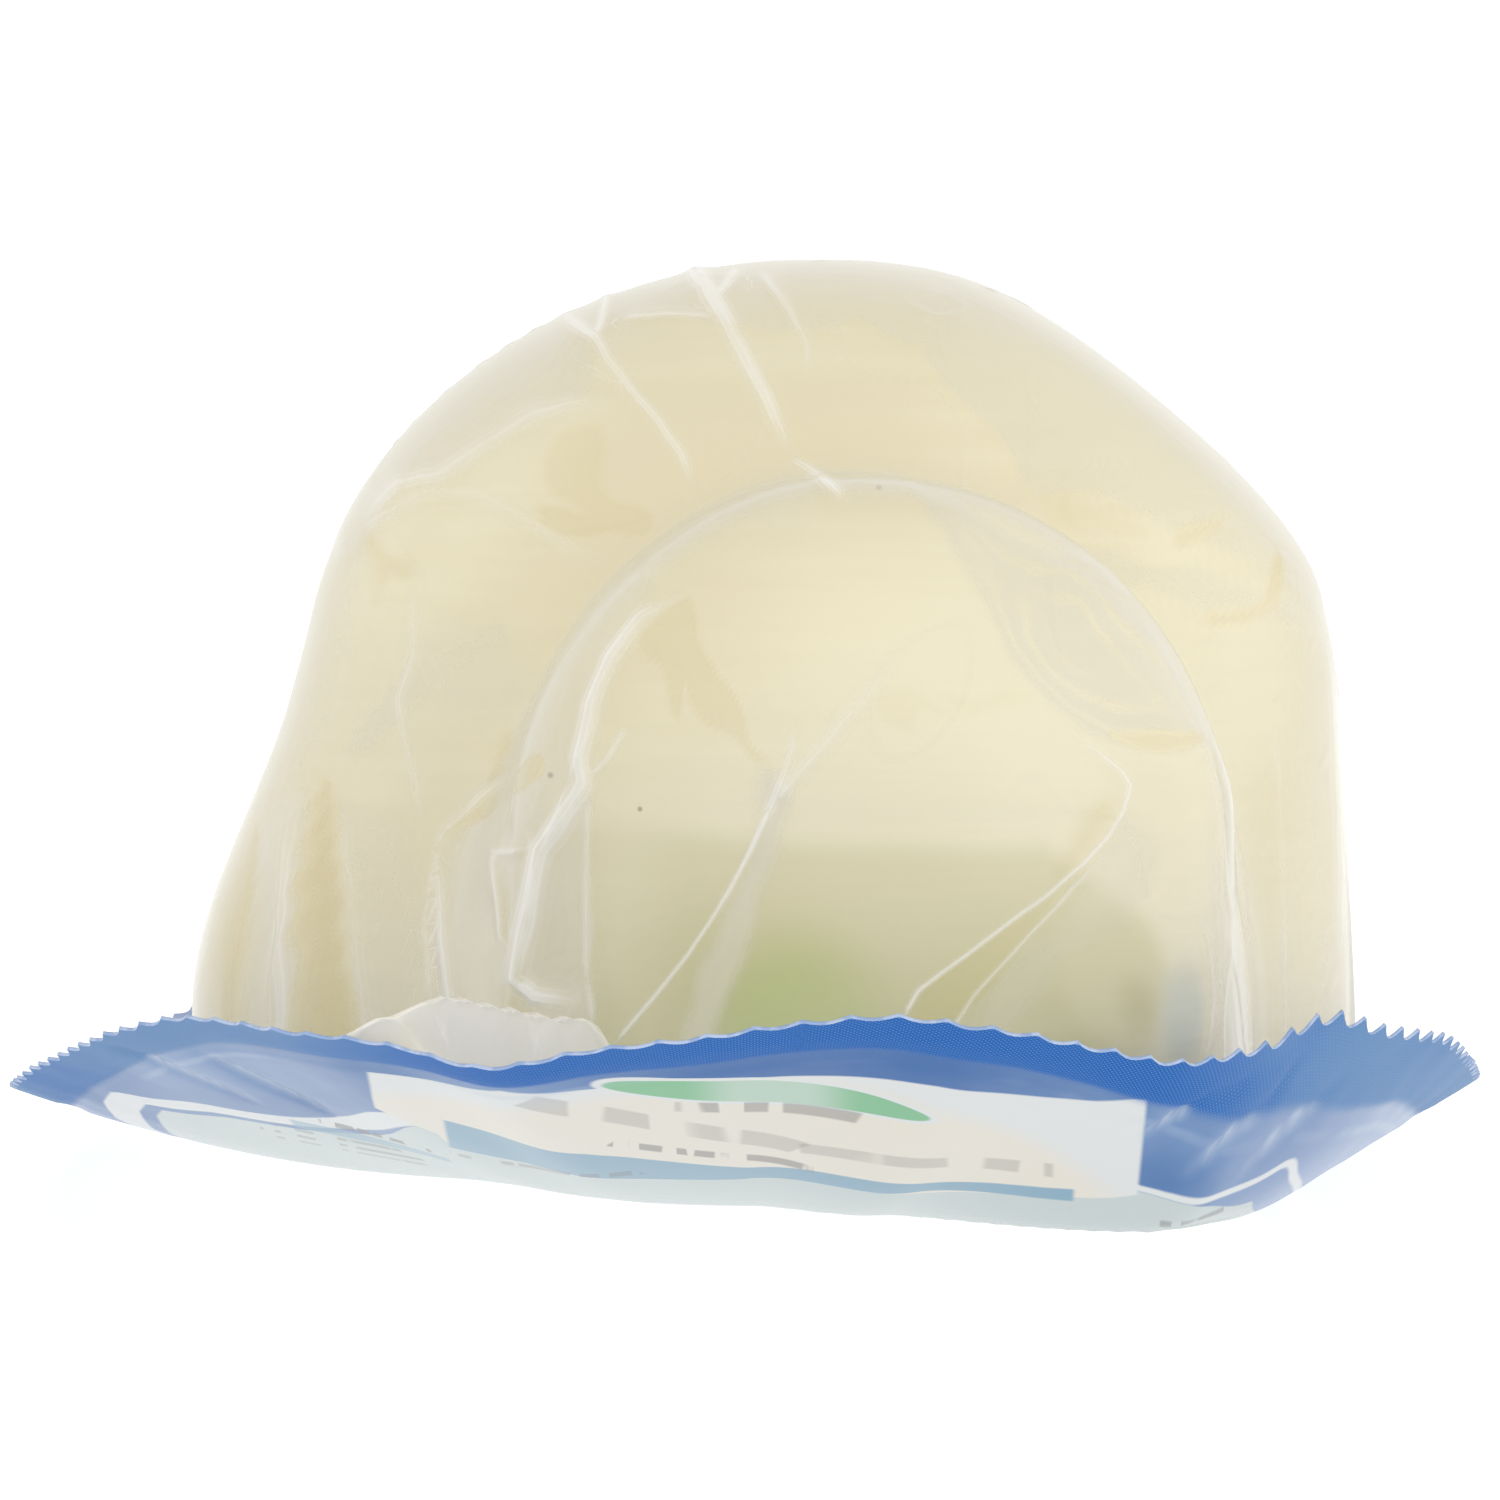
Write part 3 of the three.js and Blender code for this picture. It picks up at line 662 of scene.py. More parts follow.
def wetness(x, z, drift):
    wet = np.zeros(x.shape)
    for outline, depth, soft in clearFilm["wetPatches"]:
        away = outsideOutline(x, z, outline) + drift
        wet = np.maximum(wet, depth * smooth(-away, -soft, soft))
    return wet


def pleatsAt(turn, share, facing):
    # seeded upright pleats: strongest at the foot, gone by some way up
    draw = np.random.default_rng(11)
    total = np.zeros(turn.shape)
    for _ in range(clearFilm["pleats"]):
        bearing, width = draw.uniform(-math.pi, math.pi), draw.uniform(0.018, 0.06)
        height, top = draw.uniform(0.25, 1) * clearFilm["pleatHeight"], draw.uniform(0.15, 0.6)
        lean = draw.uniform(-0.25, 0.25)
        away = np.angle(np.exp(1j * (turn - bearing - lean * share)))
        fade = smooth(top - share, 0, top) * (1 - 0.75 * facing)
        total = np.maximum(total, height * np.exp(-np.abs(away / width) ** 1.5) * fade)
    return total


def clearPlace(u, v):
    turn = columnTurn(u)
    heartX, heartY, heartZ = pear["heart"]

    def onFloor(distance):
        x, y = heartX + distance * np.cos(turn), heartY + distance * np.sin(turn)
        return x, y, floorUnder(x, y)

    def pastSeal(x, y, z):
        return np.hypot(x, y) / rimAt(np.arctan2(y, x))[0] - clearFilm["sealAt"]

    footReach = reachOut(onFloor, outsideCheese, len(u))
    sealReach = np.maximum(reachOut(onFloor, pastSeal, len(u)), footReach + 0.6)
    _, _, footZ = onFloor(footReach)

    skirt = np.clip(v / clearFilm["skirtRows"], 0, 1)
    skirtX, skirtY, skirtZ = onFloor(mixed(sealReach, footReach, skirt))

    cover = np.clip((v - clearFilm["skirtRows"]) / (1 - clearFilm["skirtRows"]), 0, 1)
    start = np.arctan2(footZ - heartZ, footReach)
    rise = mixed(start, math.pi / 2, cover ** clearFilm["lowRows"])
    aim = (np.cos(rise) * np.cos(turn), np.cos(rise) * np.sin(turn), np.sin(rise))

    def outward(distance):
        return tuple(middle + distance * way for middle, way in zip(pear["heart"], aim))

    reach = reachOut(outward, outsideCheese, len(u))
    x, y, z = outward(reach)
    onSkirt = v < clearFilm["skirtRows"]
    front = smooth(clearFilm["frontTo"] - y, 0, 6)
    facing = smooth(-aim[1], 0, 0.35)
    mainRelief, mainSide, mainShine = nearFold(x, z, clearFilm["mainFolds"])
    sideRelief, sideSide, sideShine = nearFold(x, z, clearFilm["sideFolds"])
    standing = smooth(z - floorUnder(x, y), 0, 3)
    pleat = pleatsAt(turn, cover, facing)
    drift = sum(far * rolling(x, y, z, size, seed) for far, size, seed in clearFilm["drift"])
    veilEdge, veil, ripples = veilsAt(x, z, drift)
    wet = wetness(x, z, 0.6 * drift)
    bulge = clearFilm["bulge"] * smooth(-veilEdge, -0.8, 2.5) * front
    # fine creases run where slow random waves pass through zero, in some places only
    apart = clearFilm["creaseSize"]
    wave = rolling(1.4 * x, 1.4 * y, 0.7 * z, apart, 21)
    crease = smooth(1 - np.abs(wave) / clearFilm["creaseWidth"], 0, 1)
    crease = crease * smooth(rolling(x, y, z, 1.6 * apart, 22), -0.1, 0.6)
    crease = crease * (1 - 0.5 * front) * standing
    relief = (np.maximum(mainRelief, sideRelief) * front + bulge) * standing
    relief = relief + clearFilm["creaseHeight"] * crease
    x, y, z = outward(reach + relief + pleat * smooth(cover, 0, 0.04))
    z = np.minimum(z, clearFilm["highest"])

    # the skirt lies on the printed film in small humps, and stands up as a tent left of the head
    tent = clearFilm["tent"]
    aside, along = nearPath(skirtX, skirtY, tent["crest"])
    crest = np.interp(along, np.linspace(0, 1, len(tent["heights"])), tent["heights"])
    stand = crest * np.exp(-(aside / tent["width"]) ** 2)
    stand = stand * smooth(skirt, 0, 0.06) * smooth(1 - skirt, 0, 0.12)
    humps = pleatsAt(turn, 0 * cover, 0) * smooth(skirt, 0.15, 0.5) * clearFilm["humps"]
    skirtZ = skirtZ + np.maximum(humps * (1 - 0.6 * smooth(skirt, 0.7, 1)), stand)
    tentSide = np.full(x.shape, 6.0)
    for fold in clearFilm["tentFolds"]:
        tentSide = np.minimum(tentSide, np.abs(nearPath(skirtX, skirtY, fold)[0]))
    x, y, z = (np.where(onSkirt, lying, up) for lying, up in ((skirtX, x), (skirtY, y), (skirtZ, z)))
    inTent = smooth(tent["width"] * 1.8 - np.abs(aside), -0.2, 0.2)
    uneven = 1 + 0.25 * rolling(x, y, z, 14, 31)
    fromX, fromY, toY = clearFilm["neckCrease"]
    inNeck = smooth(x, *fromX) * smooth(y, *fromY) * smooth(-y, *toY)
    return x, y, z, {
        "veil": np.where(onSkirt, 0.5 * inTent, veil * front),
        "veilEdge": veilEdge * uneven,
        "inNeck": inNeck * (1 - onSkirt),
        "ripples": np.where(onSkirt, 0, ripples * front),
        "wet": wet * front * (1 - onSkirt),
        "foldSide": np.where(onSkirt, aside / 0.3, mainSide),
        "foldShine": np.where(onSkirt, smooth(stand, 1, 4), mainShine * front),
        "branchSide": np.where(onSkirt, tentSide / 0.35, sideSide),
        "branchShine": np.where(onSkirt, 0.5 * smooth(stand, 0.5, 2), sideShine * front),
        "crease": crease * (1 - onSkirt),
        "inTent": onSkirt * smooth(stand, 0.2, 2),
        "pleat": np.where(onSkirt, humps, pleat) / clearFilm["pleatHeight"],
        "haze": 0.5 + 0.5 * rolling(x, y, z, 24, 8),
    }


def cheeseMaterial():
    look = {
        # low is the colour of the painted shade and green reflection at the foot of the head
        "cream": shade(239, 230, 198), "deep": shade(231, 220, 184), "low": shade(198, 192, 142),
        "cloudScale": 28, "fibreScale": 60, "fibreStretch": (0.5, 1, 9), "fibreShare": 0.2,
        "fibreRelief": 0.12, "coat": 0.2, "coatRoughness": 0.2,
        # painted shade and a painted green reflection of the pack in front, at the foot of the head. Each of
        # these is from where to where in metres, and how strong it is at the one and at the other.
        "step": (0.025, 0.0278, 0.48, 0), "fade": (0.015, 0.026, 0.5, 0), "behind": (-0.036, -0.026, 1, 0),
        "onRight": (0.022, 0.029, 1, 0.2), "onLeft": (-0.01, -0.003, 0.5, 1),
        "wander": 0.006,  # how far the edge of the painted shade wanders
        "dipsFrom": 0.02, "dip": 0.7,  # past here it slopes down to the right
        # places with painted shade and green reflection from the pack around them: centre, where it is full
        # and where it ends
        "paintedShadeAndReflections": [
            ((0.0034, -0.0490, 0.0130), 0.0040, 0.0088, shade(180, 190, 116)),
            ((0.0235, -0.0430, 0.0160), 0.0040, 0.0068, shade(214, 206, 162)),
            ((0.0252, -0.0430, 0.0145), 0.0006, 0.0036, shade(190, 180, 128)),
            ((0.0312, -0.0400, 0.0135), 0.0020, 0.0056, shade(200, 204, 186)),
            ((-0.0105, -0.0460, 0.0130), 0.0010, 0.0060, shade(208, 202, 158)),
        ],
        # dark specks on the skin, as [x, z] seen from the front
        "specks": [(-0.0138, 0.0301), (-0.0075, 0.0281), (0.0095, 0.0234), (-0.0324, 0.0198),
                   (-0.0174, 0.0243), (0.0090, 0.0500)],
        "speck": shade(96, 88, 64), "speckEdge": (0.00012, 0.0003, 0.7, 0),
    }
    material, tree, surface = newMaterial("stretched curd")
    place = objectPlace(tree)
    x, y, z = add(tree, "SeparateXYZ", {"Vector": place}).outputs
    clouds = noise(tree, place, look["cloudScale"], 2)
    fibres = noise(tree, place, look["fibreScale"], 2, 0.65, stretch=look["fibreStretch"])
    share = plus(tree, times(tree, clouds, 1 - look["fibreShare"]), times(tree, fibres, look["fibreShare"]))
    colour = blendColours(tree, ramp(tree, share, 0.36, 0.64), look["deep"], look["cream"])

    # painted shade and green reflection of the pack, strongest at the foot of the head
    wander = times(tree, minus(tree, clouds, 0.5), look["wander"])
    dip = times(tree, calc(tree, "MAXIMUM", minus(tree, x, look["dipsFrom"]), 0), look["dip"])
    height = plus(tree, z, wander, dip)
    low = plus(tree, ramp(tree, height, *look["step"]), ramp(tree, height, *look["fade"]))
    low = times(tree, low, ramp(tree, y, *look["behind"]), ramp(tree, x, *look["onRight"]),
                ramp(tree, x, *look["onLeft"]))
    colour = blendColours(tree, low, colour, look["low"])
    # painted shade and green reflection from the pack
    for centre, full, ends, tint in look["paintedShadeAndReflections"]:
        away = add(tree, "VectorMath", {0: place, 1: centre}, operation="DISTANCE").outputs["Value"]
        colour = blendColours(tree, ramp(tree, away, full, ends, 0.8, 0), colour, tint)
    seen = add(tree, "VectorMath", {0: place, 1: (1, 0.02, 1)}, operation="MULTIPLY").outputs[0]
    for speckX, speckZ in look["specks"]:
        centre = (speckX, -0.0007, speckZ)
        away = add(tree, "VectorMath", {0: seen, 1: centre}, operation="DISTANCE").outputs["Value"]
        colour = blendColours(tree, ramp(tree, away, *look["speckEdge"]), colour, look["speck"])
    setInput(tree, surface.inputs["Base Color"], colour)
    setInput(tree, surface.inputs["Roughness"], ramp(tree, fibres, 0.3, 0.7, 0.34, 0.48))
    surface.inputs["Coat Weight"].default_value = look["coat"]
    surface.inputs["Coat Roughness"].default_value = look["coatRoughness"]
    addBump(tree, surface, fibres, look["fibreRelief"], 0.0008)
    return material


def foldLines(tree, side, shine, wander):
    # a gathered fold: a soft bright core with fine strands beside it, in a pale band, all paler film with a
    # painted highlight
    moved = plus(tree, side, wander)
    distance = calc(tree, "ABSOLUTE", moved)
    strandGap = 0.45
    strand = ramp(tree, calc(tree, "SINE", times(tree, moved, 2 * math.pi / strandGap)), -0.4, 1, 0.7, 1.1)
    near = ramp(tree, distance, 0.1, 1.3, 0.42, 0)
    core = ramp(tree, distance, 0.05, 0.6, 0.3, 0)
    return times(tree, plus(tree, times(tree, strand, near), core), shine)


def clearMaterial():
    look = {
        "veil": shade(221, 215, 196), "line": shade(240, 236, 224), "wet": shade(212, 196, 144),
        "rim": shade(222, 215, 192),
        "bare": 0.03, "haze": 0.1, "edge": 0.85, "pleats": 0.14, "creases": 0.2,  # how much each covers
        "ripple": 1.25,  # millimetres from one ripple to the next
        "grainScale": 300, "wander": 0.35,
        "roughness": 0.2, "specular": 0.3,
    }
    material, tree, surface = newMaterial("clear film")
    grain = noise(tree, objectPlace(tree), look["grainScale"], 0)
    wander = times(tree, minus(tree, grain, 0.5), look["wander"])
    folds = foldLines(tree, markOf(tree, "foldSide"), markOf(tree, "foldShine"), wander)
    branches = foldLines(tree, markOf(tree, "branchSide"), markOf(tree, "branchShine"), wander)
    lines = calc(tree, "MAXIMUM", folds, branches)

    # veils with ripples along their edges, and none where the film clings
    haze = markOf(tree, "haze")
    wave = times(tree, markOf(tree, "veilEdge"), 2 * math.pi / look["ripple"])
    ripple = ramp(tree, calc(tree, "SINE", wave), -0.4, 1)
    ripple = times(tree, ripple, times(tree, markOf(tree, "ripples"), haze, clamp=True))
    veil = times(tree, markOf(tree, "veil"), minus(tree, 1, ripple))
    wet = markOf(tree, "wet")
    clings = times(tree, wet, 7, clamp=True)
    thin = times(tree, plus(tree, haze, 0.4), look["haze"])

    # seen at a slant it is milky, a painted sheen for its grazing reflection, but less so in the crease on
    # the right of the neck
    slant = add(tree, "LayerWeight", {"Blend": 0.5}).outputs["Facing"]
    rim = times(tree, ramp(tree, slant, 0.5, 0.9, look["bare"], look["edge"]),
                minus(tree, 1, times(tree, markOf(tree, "inNeck"), 0.7)))
    pale = times(tree, plus(tree, veil, thin), minus(tree, 1, clings))
    pleats = times(tree, markOf(tree, "pleat"), look["pleats"])
    creases = times(tree, markOf(tree, "crease"), look["creases"])
    total = plus(tree, pale, wet, pleats, creases, rim, lines, clamp=True)
    colour = blendColours(tree, clings, look["veil"], look["wet"])
    colour = blendColours(tree, rim, colour, look["rim"])
    # the fold lines are paler gathered film with a painted highlight, and the tent is paler film
    bright = plus(tree, times(tree, lines, 3), markOf(tree, "inTent"), clamp=True)
    colour = blendColours(tree, bright, colour, look["line"])
    setInput(tree, surface.inputs["Base Color"], colour)
    surface.inputs["Roughness"].default_value = look["roughness"]
    surface.inputs["Specular IOR Level"].default_value = look["specular"]
    setInput(tree, surface.inputs["Alpha"], total)
    return material


def boxMask(tree, x, y, left, right, front, back, soft=0.0002):
    # one inside a box of the plan, in metres
    sides = [ramp(tree, x, left - soft, left + soft), ramp(tree, x, right - soft, right + soft, 1, 0),
             ramp(tree, y, front - soft, front + soft), ramp(tree, y, back - soft, back + soft, 1, 0)]
    return times(tree, *sides)


def ovalMask(tree, x, y, centre, half, soft=0.02):
    across = calc(tree, "DIVIDE", minus(tree, x, centre[0]), half[0])
    along = calc(tree, "DIVIDE", minus(tree, y, centre[1]), half[1])
    reach = calc(tree, "SQRT", plus(tree, times(tree, across, across), times(tree, along, along)))
    return ramp(tree, reach, 1 - soft, 1 + soft, 1, 0)


def rowMask(tree, x, y, start, end, half):
    # one along a straight row from start to end, in metres
    length = math.dist(start, end)
    across, back = (end[0] - start[0]) / length, (end[1] - start[1]) / length
    fromX, fromY = minus(tree, x, start[0]), minus(tree, y, start[1])
    along = plus(tree, times(tree, fromX, across), times(tree, fromY, back))
    aside = minus(tree, times(tree, fromY, across), times(tree, fromX, back))
    return boxMask(tree, along, aside, 0, length, -half, half)


# the print. A name that ends in Share or Width holds from where to where something changes, and its value
# at each. Places on the pack are in metres, and what is measured in from an edge is in millimetres.
printLook = {
    "cloudScale": 60,
    "middle": 0.004,  # what is said to be aside is aside of here
    # the panel that the cheese stands on, and the film around it
    "blue": shade(70, 114, 168), "paleBlue": shade(116, 146, 188), "midBlue": shade(38, 96, 162),
    "farBlue": shade(136, 156, 190), "pale": shade(192, 202, 202), "white": shade(216, 219, 219),
    # deeper blue in the middle and paler at the far sides: a painted reflection of the light on the turned-up
    # corners
    "midShare": (0.006, 0.022, 0.85, 0), "farShare": (0.028, 0.036, 0, 0.6),
    "lineWidth": (-0.02, 0.02, 2.5, 0.6),  # the white line is broad on the left
    "leftWidth": (-0.026, -0.022, 1.2, 0), "rightWidth": (0.029, 0.035, 0, 2.6),  # the strip of blue
    # the label. Boxes have their left, right, front and back, ovals their centre and half sizes.
    "cream": shade(222, 217, 206), "lightBlue": shade(128, 164, 186), "green": shade(124, 184, 142),
    "label": (-0.0248, 0.0257, -0.08, -0.04), "band": (-0.0202, 0.0215, -0.07, -0.04),
    "arch": ((-0.0026, -0.04), (0.031, 0.0315), 0.05),
    "badgeAt": (0.0011, -0.0701), "badgeRim": (0.0113, 0.0024), "badge": (0.0106, 0.0019),
    "badgeTilt": 0.3, "badgeMiddle": 0.0015, "badgeShare": (0.002, 0.006, 0.5, 1),  # paler in its middle
    "secondBand": ((-0.0314, -0.0402), (-0.0205, -0.0412), 0.0014),
    # rows of short grey bars: start, end, half width, how strong, how fine the bars
    "dark": shade(96, 92, 92),
    "rows": [
        ((-0.0293, -0.0433), (-0.0217, -0.0443), 0.0009, 0.7, 900),
        ((-0.0200, -0.0470), (-0.0073, -0.0527), 0.0007, 0.4, 900),
        ((-0.0345, -0.0368), (-0.0240, -0.0385), 0.0006, 0.45, 900),
        ((-0.0345, -0.0338), (-0.0225, -0.0358), 0.0006, 0.45, 900),
        ((-0.0335, -0.0308), (-0.0225, -0.0328), 0.0006, 0.35, 900),
        ((-0.0092, -0.0609), (0.0046, -0.0538), 0.0007, 0.6, 900),
        ((0.0272, -0.0528), (0.0322, -0.0492), 0.0004, 0.5, 900),
        ((-0.0145, -0.0710), (0.0033, -0.0585), 0.0013, 0.3, 260),
        ((0.0033, -0.0585), (0.0200, -0.0590), 0.0010, 0.3, 260),
        ((-0.0060, -0.0687), (0.0071, -0.0653), 0.0009, 0.5, 500),
    ],
    # the sealed band along the cut, with its fine dots, and the crease along its inner edge
    "seal": shade(6, 90, 172), "paleSeal": shade(104, 138, 180), "dot": shade(82, 152, 214),
    "dotPitch": 0.42, "sealShare": (5.4, 6.9, 1, 0), "sealWander": 0.8, "paleSealShare": (0.022, 0.036, 0, 1),
    "edge": shade(120, 158, 214), "edgeWidth": (0.1, 0.22, 1, 0),
    # the painted sheen along the folds and the crease by the seal, and where that crease lies
    "paintedSheen": shade(188, 200, 216), "creaseInShare": (7.0, 7.6, 0, 1), "creaseOutShare": (7.8, 8.6, 1, 0),
    "creaseSideShare": (0.006, 0.018, 0.2, 1),
    "wrinkleScale": 110, "relief": 0.25,
}


def panelPrint(tree, x, aside, cloud):
    # a white line, a strip of blue, then the pale field of clear film, whose grey-green is partly painted
    # shade of the table seen through it
    look = printLook
    blue = blendColours(tree, ramp(tree, cloud, 0.3, 0.7), look["blue"], look["paleBlue"])
    # painted reflection: deeper in the middle, paler on the turned-up corners
    blue = blendColours(tree, ramp(tree, aside, *look["midShare"]), blue, look["midBlue"])
    blue = blendColours(tree, ramp(tree, x, *look["farShare"]), blue, look["farBlue"])
    into = markOf(tree, "intoPanel")
    pastLine = minus(tree, into, ramp(tree, x, *look["lineWidth"]))
    strip = plus(tree, ramp(tree, x, *look["leftWidth"]), ramp(tree, x, *look["rightWidth"]))
    line = times(tree, ramp(tree, into, 0, 0.3), ramp(tree, pastLine, 0, 0.3, 1, 0))
    colour = blendColours(tree, line, blue, look["white"])
    return blendColours(tree, ramp(tree, minus(tree, pastLine, strip), 0, 0.3), colour, look["pale"])


def betweenMarks(tree, top, foot):
    return times(tree, ramp(tree, markOf(tree, top), 0, 0.3), ramp(tree, markOf(tree, foot), -0.3, 0, 1, 0))


def labelPrint(tree, place, x, y, colour):
    # white, with a cream arch, a light-blue band at its foot and a green badge
    look = printLook
    label = times(tree, betweenMarks(tree, "labelTop", "labelFoot"), boxMask(tree, x, y, *look["label"]))
    band = times(tree, betweenMarks(tree, "bandTop", "bandFoot"), boxMask(tree, x, y, *look["band"]))
    arch = times(tree, ovalMask(tree, x, y, *look["arch"]), label)
    # a second light-blue band on the left, half hidden by the fold
    second = times(tree, rowMask(tree, x, y, *look["secondBand"]), 0.7)
    tilted = minus(tree, y, times(tree, x, look["badgeTilt"]))
    badgeRim = ovalMask(tree, x, tilted, look["badgeAt"], look["badgeRim"])
    fromMiddle = calc(tree, "ABSOLUTE", minus(tree, x, look["badgeMiddle"]))
    badge = times(tree, ovalMask(tree, x, tilted, look["badgeAt"], look["badge"]),
                  ramp(tree, fromMiddle, *look["badgeShare"]))
    for share, name in ((label, "white"), (arch, "cream"), (band, "lightBlue"), (second, "lightBlue"),
                        (badgeRim, "white"), (badge, "green")):
        colour = blendColours(tree, share, colour, look[name])
    for start, end, half, strength, scale in look["rows"]:
        bars = ramp(tree, noise(tree, place, scale, 1, stretch=(1, 0.05, 0.05)), 0.44, 0.5)
        row = times(tree, rowMask(tree, x, y, start, end, half), bars, strength)
        colour = blendColours(tree, row, colour, look["dark"])
    return colour


def printedMaterial():
    look = printLook
    material, tree, surface = newMaterial("printed film outside")
    place = objectPlace(tree)
    x, y, _ = add(tree, "SeparateXYZ", {"Vector": place}).outputs
    fromRim = markOf(tree, "fromRim")
    cloud = noise(tree, place, look["cloudScale"])
    aside = calc(tree, "ABSOLUTE", minus(tree, x, look["middle"]))
    colour = labelPrint(tree, place, x, y, panelPrint(tree, x, aside, cloud))

    turns = 2 * math.pi / look["dotPitch"]
    dotAcross = calc(tree, "SINE", times(tree, markOf(tree, "alongRim"), turns))
    dotUp = calc(tree, "SINE", times(tree, fromRim, turns))
    dots = ramp(tree, times(tree, dotAcross, dotUp), 0.35, 0.8)
    # painted reflection: the seal is paler on the turned-up corners
    paleShare = times(tree, ramp(tree, aside, *look["paleSealShare"]), ramp(tree, cloud, 0.25, 0.6, 0.55, 1))
    seal = blendColours(tree, paleShare, look["seal"], look["paleSeal"])
    seal = blendColours(tree, times(tree, dots, 0.75), seal, look["dot"])
    sealShare = ramp(tree, plus(tree, fromRim, times(tree, cloud, look["sealWander"])), *look["sealShare"])
    colour = blendColours(tree, sealShare, colour, seal)
    colour = blendColours(tree, ramp(tree, fromRim, *look["edgeWidth"]), colour, look["edge"])
    # painted sheen along the folds and along the crease by the seal, where the folded film is also paler
    crease = times(tree, ramp(tree, fromRim, *look["creaseInShare"]),
                   ramp(tree, fromRim, *look["creaseOutShare"]), ramp(tree, cloud, 0.45, 0.62, 0, 0.4),
                   ramp(tree, aside, *look["creaseSideShare"]))
    paintedSheen = calc(tree, "MAXIMUM", markOf(tree, "paintedSheen"), crease)
    paintedSheen = times(tree, paintedSheen, minus(tree, 0.75, sealShare), clamp=True)
    colour = blendColours(tree, paintedSheen, colour, look["paintedSheen"])

    setInput(tree, surface.inputs["Base Color"], colour)
    setInput(tree, surface.inputs["Roughness"], ramp(tree, sealShare, 0, 1, 0.26, 0.5))
    setInput(tree, surface.inputs["Coat Weight"], ramp(tree, sealShare, 0, 1, 0.16, 0))
    surface.inputs["Specular IOR Level"].default_value = 0.14
    surface.inputs["Coat Roughness"].default_value = 0.15
    wrinkle = noise(tree, place, look["wrinkleScale"], 2, 0.55)
    height = plus(tree, times(tree, wrinkle, 0.8), times(tree, dots, times(tree, sealShare, 0.12)))
    addBump(tree, surface, height, look["relief"], 0.0005)
    return material


def insideMaterial():
    look = {
        "blue": shade(66, 104, 186), "seal": shade(40, 96, 180), "pale": shade(214, 222, 226),
        "paleShare": (13, 15, 0, 1), "sealShare": (4.4, 5.6, 1, 0),  # millimetres in from the rim
        "coat": 0.8,
    }
    material, tree, surface = newMaterial("printed film inside")
    place = objectPlace(tree)
    fromRim = markOf(tree, "fromRim")
    cloud = noise(tree, place, printLook["cloudScale"])
    inner = blendColours(tree, ramp(tree, fromRim, *look["paleShare"]), look["blue"], look["pale"])
    sealShare = ramp(tree, plus(tree, fromRim, cloud), *look["sealShare"])
    colour = blendColours(tree, sealShare, inner, look["seal"])
    colour = blendColours(tree, ramp(tree, cloud, 0.3, 0.7, 0, 0.2), colour, look["pale"])
    setInput(tree, surface.inputs["Base Color"], colour)
    surface.inputs["Roughness"].default_value = 0.3
    surface.inputs["Coat Weight"].default_value = look["coat"]
    surface.inputs["Coat Roughness"].default_value = 0.1
    wrinkle = noise(tree, place, printLook["wrinkleScale"], 2, 0.55)
    addBump(tree, surface, wrinkle, printLook["relief"], 0.0005)
    return material


def edgeMaterial():
    look = {"blue": shade(150, 175, 215), "pale": shade(184, 200, 228), "speckScale": 900}
    material, tree, surface = newMaterial("film cut edge")
    speck = noise(tree, objectPlace(tree), look["speckScale"], 2)
    colour = blendColours(tree, ramp(tree, speck, 0.4, 0.6), look["blue"], look["pale"])
    setInput(tree, surface.inputs["Base Color"], colour)
    surface.inputs["Roughness"].default_value = 0.3
    return material


print("cheese")
scamorza = gridPiece(cheese["name"], cheese["columns"], cheese["rows"], cheesePlace, slots=[cheeseMaterial()])
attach(scamorza, "root")
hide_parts("bagged_scamorza")

print("clear film")
film = gridPiece(clearFilm["name"], clearFilm["columns"], clearFilm["rows"], clearPlace,
                 slots=[clearMaterial()])
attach(film, "root")
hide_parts("bagged_scamorza")
film.visible_shadow = False  # so thin and clear that it casts none
film.visible_diffuse = False

print("printed film")
web = gridPiece("printed_web", toothCount * printedFilm["toothSteps"], printedFilm["rows"], printedPlace,
                printedFilm["thickness"], [printedMaterial(), insideMaterial(), edgeMaterial()])
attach(web, "root")
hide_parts("printed_film")


studio = {
    "tableSize": 2.5,
    "sweepAt": 1.2,  # where the table starts to turn up behind
    "sweep": 0.6,
    "wallHeight": 1.5,
    "table": shade(116, 118, 118), "tableRoughness": 0.4,
    "tableGlow": 0.86,  # a lit table, so that it stays white and fills in the shadows from below
    "room": 1.0,  # brightness of the white room
    "fromRight": 0.09,  # how much brighter it is from the right, from behind and from above
    "fromBehind": -0.07,
    "fromAbove": -0.22,
    "lights": {
        # place, width, height, power in watts
        "left box": ((-0.75, -0.55, 0.20), 0.7, 0.7, 0.8),
        "right box": ((0.75, -0.55, 0.30), 0.7, 0.7, 1.0),
    },
    "aim": (0.005, -0.01, 0.03),
    "camera": (0, -0.533, 0.052),
    "pitch": math.radians(2.32),
    "lens": 172.9,
    "sensor": 36,
}


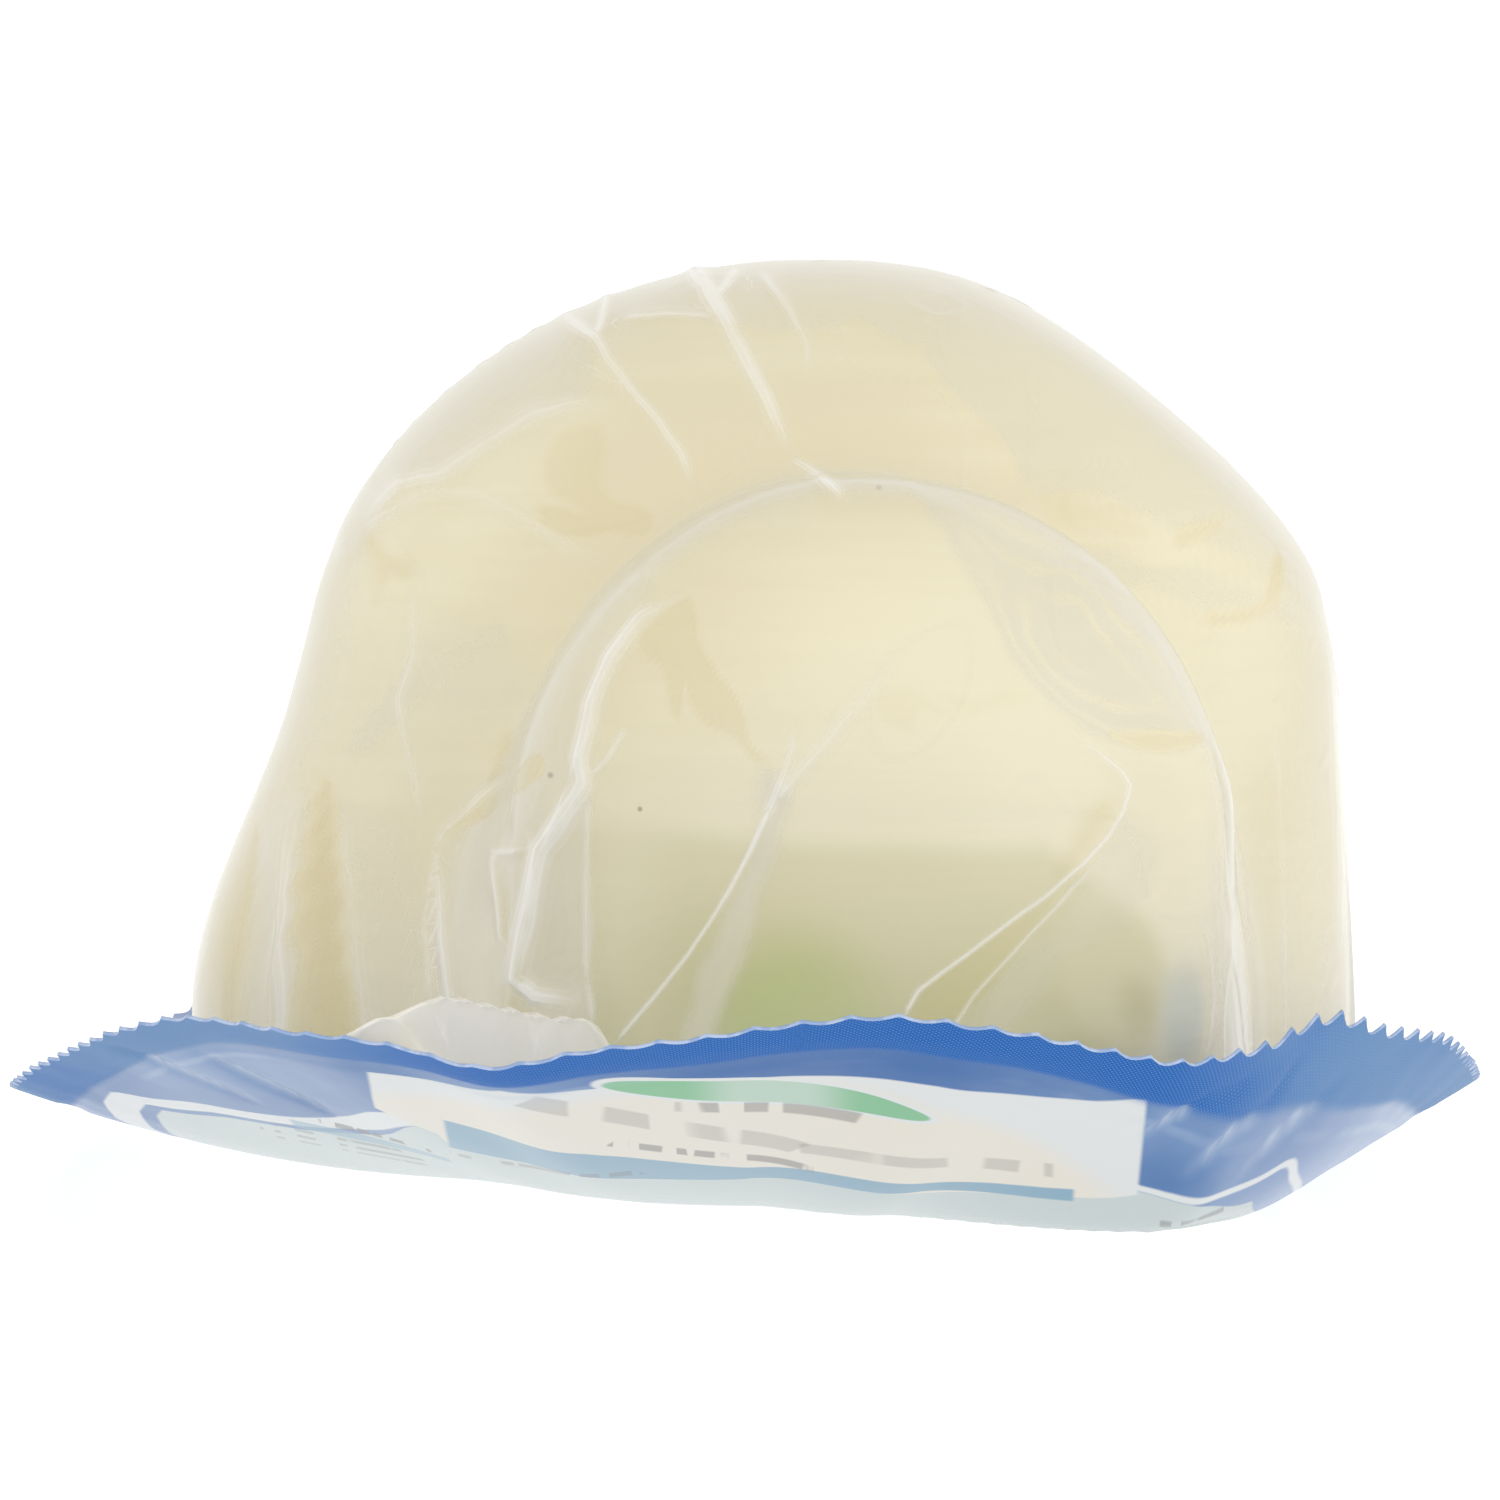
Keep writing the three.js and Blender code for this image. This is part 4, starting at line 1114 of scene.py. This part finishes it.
def makeTable():
    # it runs up behind in one sweep, so that no horizon shows
    size, bend = studio["tableSize"], studio["sweep"]
    sweep = bmesh.new()
    start = [sweep.verts.new((side * size, -size, 0)) for side in (-1, 1)]
    edge = sweep.edges.new(start)
    flat = bmesh.ops.extrude_edge_only(sweep, edges=[edge])["geom"]
    bmesh.ops.translate(sweep, verts=[part for part in flat if isinstance(part, bmesh.types.BMVert)],
                        vec=(0, size + studio["sweepAt"], 0))
    last = [part for part in flat if isinstance(part, bmesh.types.BMEdge) and
            all(abs(vert.co.y - studio["sweepAt"]) < 1e-6 for vert in part.verts)]
    turned = bmesh.ops.spin(sweep, geom=last, cent=(0, studio["sweepAt"], bend), axis=(1, 0, 0),
                            angle=math.pi / 2, steps=24)["geom_last"]
    last = [part for part in turned if isinstance(part, bmesh.types.BMEdge)]
    wall = bmesh.ops.extrude_edge_only(sweep, edges=last)
    bmesh.ops.translate(sweep, verts=[part for part in wall["geom"] if isinstance(part, bmesh.types.BMVert)],
                        vec=(0, 0, studio["wallHeight"]))
    bmesh.ops.recalc_face_normals(sweep, faces=sweep.faces)
    floorMesh = bpy.data.meshes.new("table_sweep")
    sweep.to_mesh(floorMesh)
    sweep.free()
    for polygon in floorMesh.polygons:
        polygon.use_smooth = True
    floor = bpy.data.objects.new("table_sweep", floorMesh)
    bpy.context.scene.collection.objects.link(floor)
    material, _, surface = newMaterial("pale table")
    surface.inputs["Base Color"].default_value = studio["table"]
    surface.inputs["Roughness"].default_value = studio["tableRoughness"]
    surface.inputs["Emission Color"].default_value = (1, 1, 1, 1)
    surface.inputs["Emission Strength"].default_value = studio["tableGlow"]
    floorMesh.materials.append(material)


def makeLights():
    world = bpy.data.worlds.new("soft white room")
    world.use_nodes = True
    room = world.node_tree
    way = add(room, "TexCoord").outputs["Generated"]
    lean = (studio["fromRight"], studio["fromBehind"], studio["fromAbove"])
    share = add(room, "VectorMath", {0: way, 1: lean}, operation="DOT_PRODUCT").outputs["Value"]
    setInput(room, room.nodes["Background"].inputs["Strength"], calc(room, "ADD", share, studio["room"]))
    room.nodes["Background"].inputs["Color"].default_value = (1, 1, 1, 1)
    bpy.context.scene.world = world

    for name, (place, width, height, power) in studio["lights"].items():
        light = bpy.data.lights.new(name, "AREA")
        light.shape = "RECTANGLE"
        light.size = width
        light.size_y = height
        light.energy = power
        lamp = bpy.data.objects.new(name, light)
        lamp.location = place
        towards = Vector(studio["aim"]) - Vector(place)
        lamp.rotation_euler = towards.to_track_quat("-Z", "Y").to_euler()
        bpy.context.scene.collection.objects.link(lamp)


def makeCamera():
    lens = bpy.data.cameras.new("camera")
    lens.lens = studio["lens"]
    lens.sensor_width = studio["sensor"]
    lens.clip_start = 0.01
    camera = bpy.data.objects.new("camera", lens)
    camera.location = studio["camera"]
    camera.rotation_euler = (math.pi / 2 - studio["pitch"], 0, 0)
    bpy.context.scene.collection.objects.link(camera)
    bpy.context.scene.camera = camera
    bpy.context.scene.view_settings.view_transform = "Standard"


print("studio")
makeTable()
makeLights()
makeCamera()
